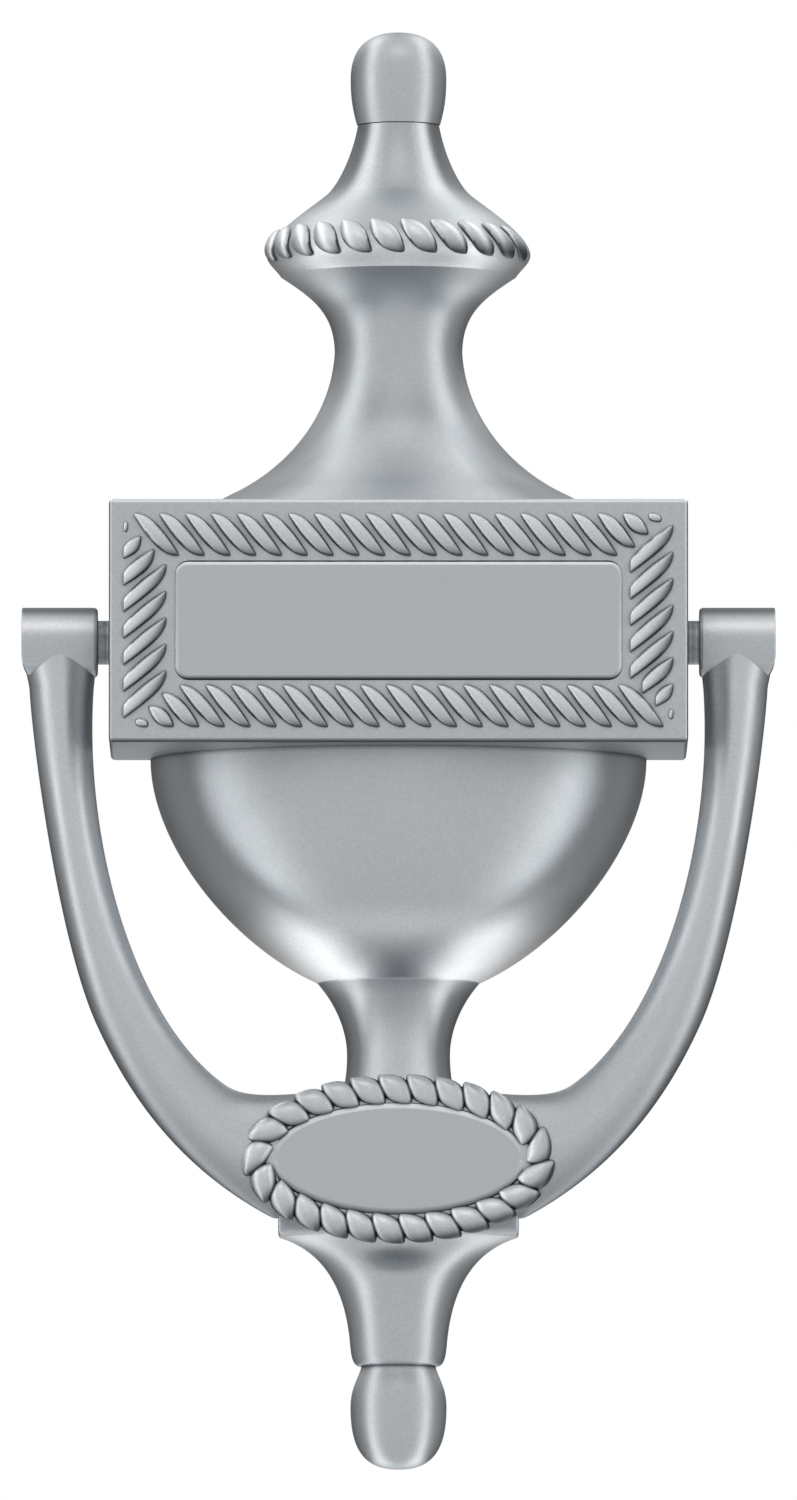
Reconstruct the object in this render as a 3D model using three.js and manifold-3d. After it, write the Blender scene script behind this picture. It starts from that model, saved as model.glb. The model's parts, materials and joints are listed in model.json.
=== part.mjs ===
// Door knocker: an urn-shaped cast backplate with a rope-edged block, and a hinged knocker whose oval
// medallion strikes a ledge at the foot of the urn. Millimetres, +Z up, front towards -Y.
// The door's face is the plane y = 0 and the knocker turns on the X axis line at height z = 0.
import * as THREE from "three";
import { mergeVertices } from "three/addons/utils/BufferGeometryUtils.js";
import Module from "manifold-3d";

const wasm = await Module();
wasm.setup();

// ---- Driving dimensions ----
const wall = 3.2; // thickness of the hollow casting
const seatGap = 0.3; // clearance between pieces that are fastened together
const runGap = 0.25; // radial clearance of the knuckles on their pins
const strikeGap = 0.3; // gap between the resting knocker and the ledge it strikes
const turnSegments = 32; // facets round the large turned forms
const pinSegments = 20; // facets round pins, bolts and washers

const blockWidth = 77.5;
const blockTop = 18.1; // above the pivot axis
const blockBottom = -14.6;
const blockDepth = 28.4; // from the door to the block's front face
const blockBevel = 0.6;
const blockCorner = 0.8;

const neckFootRadius = 29.5;
const neckRadius = 8.6;
const neckHeight = 22.4; // from the block's top to the narrowest ring
const neckFlatten = 0.9; // depth over half-width at the neck's foot
const flangeRadius = 17.8;
const flangeHeight = 35.6; // from the block's top to the flange's widest ring
const coneRadius = 5.5; // where the cone meets the finial
const coneHeight = 53.1; // from the block's top to the finial's crease
const finialRadius = 6.46;
const finialLength = 12.7;

const bowlRadius = 33.4;
const bowlDepth = 23.6; // front of the bowl at the block's underside
const bowlLength = 30.2; // from the block's underside to the crease ring
const creaseRadius = 10.9; // where the bowl meets the stem
const stemRadius = 6.93;
const stemDrop = 9.7; // from the crease ring to the stem's narrowest ring
const stemFoot = 9; // from there to the ledge's top

const ledgeWidth = 32.3;
const ledgeHeight = 15.6;
const ledgeDepth = 9.5;
const ledgeInset = 0.2; // the bell's edge lies this far inside the ledge
const strikeHeight = 9.4; // the knocker strikes this far above the ledge's underside

const bellRadius = 6.55; // just above the bell's lip
const bellLength = 17.4;
const ballRadius = 6.46;
const ballLength = 13.8;
const ballNeckRadius = 5;

const pivotDepth = 14.2; // pivot axis in front of the door
const pinRadius = 2.95;
const pinReach = 7.2; // length of the pin inside the knuckle
const knuckleRadius = 4.7;
const knuckleLength = 10.2;
const knuckleGap = 1.6; // bare pin between the block and the knuckle
const nutAcross = 9; // lock nut, across its flats
const nutLength = 3.2;
const pinTail = 2.2; // pin end that stands out of the lock nut

const armThickness = 8.4; // front to back at the top of the arm
const armTaper = 0.72; // thickness near the medallion over thickness at the top
const medallionHalfWidth = 20.3;
const medallionHalfHeight = 10.5;
const medallionThickness = 6.1;
const ovalPlateHalfWidth = 17;
const ovalPlateHalfHeight = 7.5;

const namePlateWidth = 59.7;
const namePlateHeight = 15.7;
const namePlateCorner = 1.7;
const plateThickness = 1.3;
const plateProud = 0.4; // how far each plate stands above its surround
const plateBevel = 0.25;

const buttonRadius = 6.5;
const buttonThickness = 2.1;
const spigotRadius = 2.5;
const spigotLength = 3.2;
const edgeBreak = 0.5; // turned pieces' corners
const slotWidth = 1; // screwdriver slots in the pins
const slotDepth = 1.2;

const ropeWidth = 5.7; // across the rope border
const ropePitch = 3.43; // one strand to the next
const collarPitch = 4;
const ropeRelief = 0.8; // height of a strand above its ground
const ropeLean = 45; // degrees between a strand and the line across the rope
const strandLength = 7; // tip to tip
const strandWidth = 2.3;
const ropeMargin = 2; // edge of the block's face to the rope

const doorThickness = 44;
const boltRadius = 2.4;
const boltHeadRadius = 4.7;
const boltEngagement = 7; // length of the bolt inside the casting
const cupWasherRadius = 7.5;
const cupWasherHeight = 3;
const boltSlotWidth = 1.2;
const domeHeight = 1.1; // oval head of the bolt above its cone
const ribWidth = 5;
const ribDepth = 6;

// ---- Values that follow ----
const blockMiddle = (blockTop + blockBottom) / 2;
const neckZ = blockTop + neckHeight;
const flangeZ = blockTop + flangeHeight;
const coneZ = blockTop + coneHeight;
const creaseZ = blockBottom - bowlLength;
const stemZ = creaseZ - stemDrop;
const ledgeTop = stemZ - stemFoot;
const ledgeBottom = ledgeTop - ledgeHeight;
const bellZ = ledgeBottom - bellLength;
const bailDrop = -ledgeBottom - strikeHeight; // pivot axis to the medallion's centre
const knuckleInner = blockWidth / 2 + knuckleGap;
const knuckleOuter = knuckleInner + knuckleLength;
const buttonFace = ledgeDepth + strikeGap;
const medallionBack = buttonFace + buttonThickness + seatGap;
const medallionFront = medallionBack + medallionThickness;
const plateSeat = plateThickness + seatGap - plateProud; // depth of the recess under a plate
const upperBoltZ = flangeZ;
const lowerBoltZ = ledgeBottom + ledgeHeight / 2;
const far = 200; // larger than the whole object
const beyond = 5; // how far a cutter or a joined form runs past the surface it meets

const satinNickel = { color: 0xa8acb0, roughness: 0.38, metalness: 1 };
const polishedSteel = { color: 0x8f9498, roughness: 0.3, metalness: 1 };
const zincSteel = { color: 0xb4b6b4, roughness: 0.45, metalness: 1 };

// ---- Solids ----
function solidFrom(geometry) {
  const bare = geometry.clone();
  bare.deleteAttribute("normal");
  bare.deleteAttribute("uv");
  const merged = mergeVertices(bare, 1e-4);
  return new wasm.Manifold(
    new wasm.Mesh({
      numProp: 3,
      vertProperties: new Float32Array(merged.attributes.position.array),
      triVerts: new Uint32Array(merged.index.array),
    }),
  );
}

function geometryFrom(solid) {
  const mesh = solid.getMesh();
  const geometry = new THREE.BufferGeometry();
  geometry.setAttribute("position", new THREE.BufferAttribute(mesh.vertProperties, 3));
  geometry.setIndex(new THREE.BufferAttribute(mesh.triVerts, 1));
  geometry.computeVertexNormals();
  return geometry;
}

// A box between two corners.
function boxSolid([x0, y0, z0], [x1, y1, z1]) {
  const box = new THREE.BoxGeometry(x1 - x0, y1 - y0, z1 - z0);
  box.translate((x0 + x1) / 2, (y0 + y1) / 2, (z0 + z1) / 2);
  return solidFrom(box);
}

// A form turned on the Z axis from an outline of (radius, z) points that rise. Its depth is the radius
// times depthShare(z), and inset thins both alike, which gives the hollow inside a wall.
function turnedSolid(outline, depthShare, inset = 0) {
  const points = outline.map(({ x, y }) => new THREE.Vector2(Math.max(x - inset, 0), y));
  const first = points[0];
  const last = points[points.length - 1];
  if (first.x > 0) points.unshift(new THREE.Vector2(0, first.y));
  if (last.x > 0) points.push(new THREE.Vector2(0, last.y));
  const geometry = new THREE.LatheGeometry(points, turnSegments);
  geometry.rotateX(Math.PI / 2);
  const place = geometry.attributes.position;
  for (let i = 0; i < place.count; i++) {
    const radius = Math.hypot(place.getX(i), place.getY(i));
    if (radius === 0) continue;
    const share = depthShare(place.getZ(i));
    place.setY(i, (place.getY(i) * Math.max((radius + inset) * share - inset, 0)) / radius);
  }
  return solidFrom(geometry);
}

// A round piece turned on the Y axis (depth) or the X axis (width) from (radius, length) points.
function pinSolid(points, alongX = false) {
  const outline = points.map(([radius, along]) => new THREE.Vector2(radius, along));
  const geometry = new THREE.LatheGeometry(outline, pinSegments);
  if (alongX) geometry.rotateZ(-Math.PI / 2);
  return solidFrom(geometry);
}

// A flat outline in (x, z), thickened from depth `back` to depth `front` in front of the door.
function plateSolid(shape, back, front, bevel = 0, curveSegments = 12) {
  const geometry = new THREE.ExtrudeGeometry(shape, {
    depth: front - back - 2 * bevel,
    bevelEnabled: bevel > 0,
    bevelThickness: bevel,
    bevelSize: bevel,
    bevelOffset: -bevel,
    bevelSegments: 2,
    curveSegments,
  });
  geometry.translate(0, 0, back + bevel);
  geometry.rotateX(Math.PI / 2);
  return solidFrom(geometry);
}

function rectangle(width, height, middleZ, corner) {
  const x = width / 2;
  const low = middleZ - height / 2;
  const high = middleZ + height / 2;
  const shape = new THREE.Shape();
  shape.moveTo(x, low + corner);
  shape.absarc(x - corner, high - corner, corner, 0, Math.PI / 2);
  shape.absarc(-x + corner, high - corner, corner, Math.PI / 2, Math.PI);
  shape.absarc(-x + corner, low + corner, corner, Math.PI, 1.5 * Math.PI);
  shape.absarc(x - corner, low + corner, corner, 1.5 * Math.PI, 2 * Math.PI);
  return shape;
}

function oval(halfWidth, halfHeight) {
  const shape = new THREE.Shape();
  shape.absellipse(0, -bailDrop, halfWidth, halfHeight, 0, 2 * Math.PI);
  return shape;
}

function mirrored(solid) {
  return solid.mirror([1, 0, 0]);
}

function united(solids) {
  return solids.reduce((sum, solid) => sum.add(solid));
}

// One strand of rope: a long bead, its length along Z leaned by `lean` degrees in the XZ plane.
function strandGeometry(length, lean) {
  const bead = new THREE.SphereGeometry(1, 6, 4);
  bead.scale(strandWidth / 2, ropeRelief, length / 2);
  bead.rotateY(THREE.MathUtils.degToRad(-lean));
  return bead;
}

// ---- Outlines of the urn, as (radius, z), from the bottom up ----
function upperOutline() {
  const line = new THREE.Path();
  const cupRise = flangeZ - neckZ;
  const coneRise = coneZ - flangeZ;
  line.moveTo(neckFootRadius, blockTop - blockBevel);
  line.bezierCurveTo(
    neckFootRadius * 0.6, blockTop + neckHeight * 0.2,
    neckRadius * 1.07, neckZ - neckHeight * 0.45,
    neckRadius, neckZ,
  );
  line.bezierCurveTo(
    neckRadius * 1.01, neckZ + cupRise * 0.4,
    flangeRadius * 0.65, flangeZ - cupRise * 0.47,
    flangeRadius * 0.9, flangeZ - cupRise * 0.235,
  );
  line.quadraticCurveTo(flangeRadius, flangeZ - cupRise * 0.15, flangeRadius, flangeZ);
  line.bezierCurveTo(
    flangeRadius * 0.966, flangeZ + coneRise * 0.25,
    coneRadius * 2, flangeZ + coneRise * 0.355,
    coneRadius * 1.78, flangeZ + coneRise * 0.435,
  );
  line.bezierCurveTo(
    coneRadius * 1.44, flangeZ + coneRise * 0.537,
    coneRadius * 1.1, coneZ - coneRise * 0.23,
    coneRadius, coneZ,
  );
  line.bezierCurveTo(
    coneRadius * 1.1, coneZ + finialLength * 0.21,
    finialRadius, coneZ + finialLength * 0.32,
    finialRadius, coneZ + finialLength / 2,
  );
  line.bezierCurveTo(
    finialRadius, coneZ + finialLength * 0.86,
    finialRadius * 0.6, coneZ + finialLength,
    0, coneZ + finialLength,
  );
  return line.getPoints(6);
}

function bowlOutline() {
  const line = new THREE.Path();
  line.moveTo(stemRadius * 1.29, ledgeTop - ledgeHeight * 0.06);
  line.bezierCurveTo(
    stemRadius * 1.09, ledgeTop + stemFoot * 0.22,
    stemRadius, stemZ - stemFoot * 0.36,
    stemRadius, stemZ,
  );
  line.bezierCurveTo(
    stemRadius, stemZ + stemDrop * 0.35,
    creaseRadius * 0.78, creaseZ - stemDrop * 0.28,
    creaseRadius, creaseZ,
  );
  line.bezierCurveTo(
    bowlRadius * 0.69, creaseZ + bowlLength * 0.18,
    bowlRadius, blockBottom - bowlLength * 0.36,
    bowlRadius, blockBottom,
  );
  line.lineTo(bowlRadius, blockBottom + blockBevel);
  return line.getPoints(6);
}

function bellOutline() {
  const line = new THREE.Path();
  line.moveTo(0, bellZ - ballLength);
  line.bezierCurveTo(
    ballRadius * 0.6, bellZ - ballLength,
    ballRadius, bellZ - ballLength * 0.87,
    ballRadius, bellZ - ballLength * 0.4,
  );
  line.bezierCurveTo(
    ballRadius, bellZ - ballLength * 0.2,
    ballNeckRadius * 1.1, bellZ - ballLength * 0.13,
    ballNeckRadius, bellZ,
  );
  line.lineTo(bellRadius * 0.85, bellZ + bellLength * 0.006);
  line.bezierCurveTo(
    bellRadius * 0.97, bellZ + bellLength * 0.05,
    bellRadius * 0.97, bellZ + bellLength * 0.1,
    bellRadius, bellZ + bellLength * 0.2,
  );
  line.bezierCurveTo(
    bellRadius * 1.08, bellZ + bellLength * 0.48,
    ledgeWidth * 0.27, ledgeBottom - bellLength * 0.13,
    ledgeWidth / 2 - ledgeInset, ledgeBottom,
  );
  line.lineTo(ledgeWidth / 2 - ledgeInset, ledgeBottom + ledgeHeight * 0.03);
  return line.getPoints(6);
}

// ---- Depth over half-width at each height ----
function easeBetween(z, from, to) {
  return THREE.MathUtils.smoothstep(z, Math.min(from, to), Math.max(from, to));
}

const upperShare = (z) => neckFlatten + (1 - neckFlatten) * easeBetween(z, blockTop, neckZ);
const bowlShare = (z) => 1 + (bowlDepth / bowlRadius - 1) * easeBetween(z, creaseZ, blockBottom);
const bellShare = (z) => {
  const narrowed = (ledgeDepth - ledgeInset) / (ledgeWidth / 2);
  return 1 + (narrowed - 1) * easeBetween(z, ledgeBottom - bellLength * 0.4, ledgeBottom);
};

// ---- Rope strands that belong to the castings ----
function frameStrands() {
  const strands = [];
  const halfWidth = blockWidth / 2 - ropeMargin - ropeWidth / 2;
  const halfHeight = (blockTop - blockBottom) / 2 - ropeMargin - ropeWidth / 2;
  const inRow = Math.floor((2 * halfWidth) / ropePitch);
  const inColumn = Math.floor((2 * halfHeight) / ropePitch);
  const place = (x, z, lean) => {
    const strand = strandGeometry(strandLength, lean);
    strand.translate(x, -blockDepth, blockMiddle + z);
    strands.push(solidFrom(strand));
  };
  for (let i = 0; i < inRow; i++) {
    const x = (i - (inRow - 1) / 2) * ropePitch;
    place(x, halfHeight, ropeLean);
    place(x, -halfHeight, ropeLean);
  }
  for (let i = 0; i < inColumn; i++) {
    const z = (i - (inColumn - 1) / 2) * ropePitch;
    place(halfWidth, z, ropeLean - 90);
    place(-halfWidth, z, ropeLean - 90);
  }
  return strands;
}

function collarStrands() {
  const strands = [];
  const step = 180 / Math.round((Math.PI * flangeRadius) / collarPitch);
  for (let angle = step / 2 - 90; angle < 90; angle += step) {
    const strand = strandGeometry(strandLength * 0.8, ropeLean);
    strand.rotateX(THREE.MathUtils.degToRad(-10));
    strand.translate(0, 0.4 - flangeRadius, flangeZ + 0.8);
    strand.rotateZ(THREE.MathUtils.degToRad(angle));
    strands.push(solidFrom(strand));
  }
  return strands;
}

function medallionStrands() {
  const strands = [];
  const halfWidth = (medallionHalfWidth + ovalPlateHalfWidth + 0.9) / 2;
  const halfHeight = (medallionHalfHeight + ovalPlateHalfHeight + 0.9) / 2;
  const track = new THREE.EllipseCurve(0, -bailDrop, halfWidth, halfHeight, 0, 2 * Math.PI);
  const count = Math.round(track.getLength() / (ropePitch * 1.1));
  for (let i = 0; i < count; i++) {
    const point = track.getPointAt(i / count);
    const along = track.getTangentAt(i / count);
    const outward = THREE.MathUtils.radToDeg(Math.atan2(-along.x, -along.y));
    const strand = strandGeometry(strandLength * 0.65, ropeLean - outward + 90);
    strand.translate(point.x, -medallionFront, point.y);
    strands.push(solidFrom(strand));
  }
  return strands;
}

// ---- Pieces ----
function urnBody() {
  const half = blockWidth / 2;
  const outer = united([
    turnedSolid(upperOutline(), upperShare),
    plateSolid(
      rectangle(blockWidth, blockTop - blockBottom, blockMiddle, blockCorner), -beyond, blockDepth, blockBevel, 2,
    ),
    turnedSolid(bowlOutline(), bowlShare),
    boxSolid([-ledgeWidth / 2, -ledgeDepth, ledgeBottom], [ledgeWidth / 2, beyond, ledgeTop]),
    turnedSolid(bellOutline(), bellShare),
    ...frameStrands(),
    ...collarStrands(),
  ]);
  // The neck, the block and the bowl are separate pockets, with the block's own walls between them.
  const neckHollow = upperOutline().filter(({ y }) => y > blockTop && y <= neckZ);
  const bowlHollow = bowlOutline().filter(({ x, y }) => y > creaseZ + wall && y <= blockBottom && x > 2 * wall);
  const hollow = united([
    turnedSolid(neckHollow, upperShare, wall),
    boxSolid([wall - half, wall - blockDepth, blockBottom + wall], [half - wall, beyond, blockTop - wall]),
    turnedSolid(bowlHollow, bowlShare, wall),
  ]);
  const rib = boxSolid([-ribWidth / 2, -ribDepth, creaseZ], [ribWidth / 2, beyond, neckZ + wall]);
  const doorSide = boxSolid([-far, 0, -far], [far, far, far]);
  const plateRecess = plateSolid(
    rectangle(
      namePlateWidth + 2 * seatGap, namePlateHeight + 2 * seatGap, blockMiddle, namePlateCorner + seatGap,
    ),
    blockDepth - plateSeat, blockDepth + beyond, 0, 4,
  );
  const pinHole = pinRadius + seatGap;
  const pinBore = pinSolid(
    [[0, -half - beyond], [pinHole, -half - beyond], [pinHole, half + beyond], [0, half + beyond]], true,
  ).translate([0, -pivotDepth, 0]);
  // The pin bore passes the side walls only, so the rib is added after it.
  return outer
    .subtract(hollow)
    .subtract(pinBore)
    .add(rib.subtract(pinBore))
    .subtract(doorSide)
    .subtract(plateRecess)
    .subtract(boltHole(upperBoltZ))
    .subtract(boltHole(lowerBoltZ));
}

function boltHole(z) {
  const radius = boltRadius + seatGap;
  const bottom = -boltEngagement - seatGap;
  return pinSolid([[0, bottom], [radius, bottom], [radius, beyond], [0, beyond]]).translate([0, 0, z]);
}

function namePlate() {
  const front = blockDepth + plateProud;
  const outline = rectangle(namePlateWidth, namePlateHeight, blockMiddle, namePlateCorner);
  return plateSolid(outline, front - plateThickness, front, plateBevel, 4);
}

function armShape() {
  const inner = knuckleInner + 0.3;
  const outer = knuckleOuter - 0.8;
  const neckX = medallionHalfWidth + 3;
  const shape = new THREE.Shape();
  shape.moveTo(inner, 0);
  shape.lineTo(inner + 0.2, -bailDrop * 0.09);
  shape.bezierCurveTo(
    inner + 1.6, -bailDrop * 0.39,
    knuckleInner - 5, -bailDrop * 0.73,
    neckX, -bailDrop * 0.855,
  );
  shape.bezierCurveTo(neckX - 1.8, -bailDrop * 0.872, neckX - 4.3, -bailDrop * 0.878, 15, -bailDrop * 0.878);
  shape.lineTo(12, -bailDrop);
  shape.lineTo(medallionHalfWidth - 3.3, -bailDrop * 1.11);
  shape.bezierCurveTo(
    knuckleOuter - 18.6, -bailDrop * 0.994,
    knuckleOuter - 16.5, -bailDrop * 0.905,
    knuckleOuter - 10, -bailDrop * 0.738,
  );
  shape.bezierCurveTo(
    knuckleOuter - 4.4, -bailDrop * 0.611,
    knuckleOuter - 1.3, -bailDrop * 0.185,
    outer - 0.2, -bailDrop * 0.09,
  );
  shape.lineTo(outer, 0);
  return shape;
}

// The arm thins towards the medallion and eases forward to the medallion's middle depth.
function armSolid() {
  const back = pivotDepth - armThickness / 2;
  const arm = plateSolid(armShape(), back, back + armThickness, 2, 8);
  const lowDepth = (medallionBack + medallionFront) / 2 - 0.3;
  return arm.warp((vertex) => {
    const share = easeBetween(-vertex[2], bailDrop * 0.2, bailDrop * 0.9);
    const middle = pivotDepth + (lowDepth - pivotDepth) * share;
    const thickness = 1 + (armTaper - 1) * share;
    vertex[1] = -middle + (vertex[1] + pivotDepth) * thickness;
  });
}

function knuckleSolid() {
  const bore = pinRadius + runGap;
  const bottom = knuckleInner + pinReach + seatGap;
  const barrel = pinSolid([
    [0, knuckleInner],
    [knuckleRadius - edgeBreak, knuckleInner],
    [knuckleRadius, knuckleInner + edgeBreak],
    [knuckleRadius, knuckleOuter - edgeBreak],
    [knuckleRadius - edgeBreak, knuckleOuter],
    [0, knuckleOuter],
  ], true);
  const hole = pinSolid([[0, knuckleInner - 1], [bore, knuckleInner - 1], [bore, bottom], [0, bottom]], true);
  return { barrel: barrel.translate([0, -pivotDepth, 0]), hole: hole.translate([0, -pivotDepth, 0]) };
}

function knockerBail() {
  const { barrel, hole } = knuckleSolid();
  const side = barrel.add(armSolid()).subtract(hole);
  const disc = plateSolid(oval(medallionHalfWidth, medallionHalfHeight), medallionBack, medallionFront, 0.6, 24);
  const recess = plateSolid(
    oval(ovalPlateHalfWidth + seatGap, ovalPlateHalfHeight + seatGap),
    medallionFront - plateSeat, medallionFront + beyond, 0, 18,
  );
  const spigotHole = pinSolid([
    [0, -medallionBack - spigotLength],
    [spigotRadius + seatGap, -medallionBack - spigotLength],
    [spigotRadius + seatGap, 0],
    [0, 0],
  ]).translate([0, 0, -bailDrop]);
  return united([side, mirrored(side), disc, ...medallionStrands()]).subtract(recess).subtract(spigotHole);
}

function medallionPlate() {
  const front = medallionFront + plateProud;
  return plateSolid(oval(ovalPlateHalfWidth, ovalPlateHalfHeight), front - plateThickness, front, plateBevel, 18);
}

function strikeButton() {
  const back = -buttonFace;
  const head = back - buttonThickness;
  return pinSolid([
    [0, head - spigotLength + seatGap],
    [spigotRadius, head - spigotLength + seatGap],
    [spigotRadius, head],
    [buttonRadius, head],
    [buttonRadius, back - edgeBreak],
    [buttonRadius - edgeBreak, back],
    [0, back],
  ]).translate([0, 0, -bailDrop]);
}

function pivotPin() {
  const start = blockWidth / 2 - wall - seatGap - nutLength - pinTail;
  const end = knuckleInner + pinReach;
  const slot = boxSolid([start - beyond, -far, -slotWidth / 2], [start + slotDepth, far, slotWidth / 2]);
  return pinSolid([
    [0, start],
    [pinRadius - edgeBreak, start],
    [pinRadius, start + edgeBreak],
    [pinRadius, end - edgeBreak],
    [pinRadius - edgeBreak, end],
    [0, end],
  ], true).subtract(slot).translate([0, -pivotDepth, 0]);
}

function lockNut() {
  const outer = nutAcross / 2 / Math.cos(Math.PI / 6);
  const outside = blockWidth / 2 - wall - seatGap;
  const hexagon = new THREE.CylinderGeometry(outer, outer, nutLength, 6);
  hexagon.rotateZ(Math.PI / 2);
  hexagon.translate(outside - nutLength / 2, 0, 0);
  const bore = pinRadius + seatGap;
  const hole = pinSolid([[0, 0], [bore, 0], [bore, far], [0, far]], true);
  return solidFrom(hexagon).subtract(hole).translate([0, -pivotDepth, 0]);
}

// The oval-headed bolt's cone starts above the door by the cup washer's own floor.
function mountingBolt(z) {
  const coneStart = doorThickness + 1;
  const coneEnd = coneStart + boltHeadRadius - boltRadius;
  const slot = boxSolid([-far, coneEnd, -boltSlotWidth / 2], [far, coneEnd + beyond, boltSlotWidth / 2]);
  return pinSolid([
    [0, -boltEngagement],
    [boltRadius - edgeBreak, -boltEngagement],
    [boltRadius, -boltEngagement + edgeBreak],
    [boltRadius, coneStart],
    [boltHeadRadius, coneEnd],
    [boltHeadRadius * 0.6, coneEnd + domeHeight * 0.73],
    [0, coneEnd + domeHeight],
  ]).subtract(slot).translate([0, 0, z]);
}

function cupWasher(z) {
  const hole = boltRadius + seatGap;
  const mouth = boltHeadRadius + seatGap;
  const face = doorThickness;
  return pinSolid([
    [hole, face],
    [cupWasherRadius, face],
    [cupWasherRadius - 0.3, face + 0.8],
    [mouth + 0.5, face + cupWasherHeight],
    [mouth, face + cupWasherHeight],
    [hole, face + cupWasherHeight - (mouth - hole)],
    [hole, face],
  ]).translate([0, 0, z]);
}

// ---- The assembly ----
const knocker = new THREE.Group();

function add(name, solid, finish) {
  const mesh = new THREE.Mesh(geometryFrom(solid), new THREE.MeshStandardMaterial(finish));
  mesh.name = name;
  knocker.add(mesh);
}

add("urn_body", urnBody(), satinNickel);
add("name_plate", namePlate(), satinNickel);
add("knocker_bail", knockerBail(), satinNickel);
add("medallion_plate", medallionPlate(), satinNickel);
add("strike_button", strikeButton(), polishedSteel);
add("pivot_pin_right", pivotPin(), polishedSteel);
add("pivot_pin_left", mirrored(pivotPin()), polishedSteel);
add("lock_nut_right", lockNut(), zincSteel);
add("lock_nut_left", mirrored(lockNut()), zincSteel);
for (const [place, z] of [["upper", upperBoltZ], ["lower", lowerBoltZ]]) {
  add("mounting_bolt_" + place, mountingBolt(z), zincSteel);
  add("cup_washer_" + place, cupWasher(z), satinNickel);
}

export default knocker;
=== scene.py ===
import json
import math

import bmesh
import bpy
import numpy as np
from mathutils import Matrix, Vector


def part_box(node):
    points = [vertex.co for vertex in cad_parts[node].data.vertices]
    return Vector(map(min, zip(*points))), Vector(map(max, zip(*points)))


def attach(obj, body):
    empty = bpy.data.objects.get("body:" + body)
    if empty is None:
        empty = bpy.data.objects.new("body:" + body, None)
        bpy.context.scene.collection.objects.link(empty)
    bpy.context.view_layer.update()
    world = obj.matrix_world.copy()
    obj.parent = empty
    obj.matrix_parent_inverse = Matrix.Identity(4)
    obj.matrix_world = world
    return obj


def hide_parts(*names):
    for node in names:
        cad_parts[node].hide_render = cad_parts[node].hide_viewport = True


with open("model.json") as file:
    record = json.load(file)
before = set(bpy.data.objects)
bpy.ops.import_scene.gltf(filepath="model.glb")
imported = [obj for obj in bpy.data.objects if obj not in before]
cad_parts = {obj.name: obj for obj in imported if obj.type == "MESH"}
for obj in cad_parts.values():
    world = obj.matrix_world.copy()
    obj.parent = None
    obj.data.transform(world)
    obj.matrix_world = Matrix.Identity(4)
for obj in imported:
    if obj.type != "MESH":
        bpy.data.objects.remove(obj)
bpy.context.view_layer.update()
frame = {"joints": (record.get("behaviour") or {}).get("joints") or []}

# Door knocker in satin nickel: cast urn backplate, hinged knocker, plates, pins and door bolts.
# Shapes are worked out in millimetres in the frame's own axes, and become metres in makePiece.
mm = 0.001
pi = math.pi


def mmBox(node):
    # a CAD node's two corners in millimetres
    low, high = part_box(node)
    return np.array(low) / mm, np.array(high) / mm


bodyLow, bodyHigh = mmBox("urn_body")
bailHigh = mmBox("knocker_bail")[1]
plateLow, plateHigh = mmBox("name_plate")
ovalLow, ovalHigh = mmBox("medallion_plate")
buttonLow, buttonHigh = mmBox("strike_button")
pinLow, pinHigh = mmBox("pivot_pin_right")
nutLow, nutHigh = mmBox("lock_nut_right")
boltLow, boltHigh = mmBox("mounting_bolt_upper")
lowerBoltLow, lowerBoltHigh = mmBox("mounting_bolt_lower")
washerLow, washerHigh = mmBox("cup_washer_upper")
pivot = np.array(frame["joints"][0]["pos_m"]) / mm


def gridFaces(rows, cols, wrapRows=False, wrapCols=False):
    # four-sided faces between neighbouring rows and columns of a grid of points
    i = np.arange(rows if wrapRows else rows - 1)
    j = np.arange(cols if wrapCols else cols - 1)
    i, j = np.meshgrid(i, j, indexing="ij")
    i2, j2 = (i + 1) % rows, (j + 1) % cols
    return np.stack([i * cols + j, i * cols + j2, i2 * cols + j2, i2 * cols + j], -1).reshape(-1, 4)


def gridPart(points, wrapRows=False, wrapCols=False):
    # points is rows x columns x 3
    rows, cols = points.shape[:2]
    return points.reshape(-1, 3), gridFaces(rows, cols, wrapRows, wrapCols)


def movedPart(part, mapping):
    points, *rest = part
    return mapping(points), *rest


def mirroredX(points):
    return points * np.array([-1, 1, 1])


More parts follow.
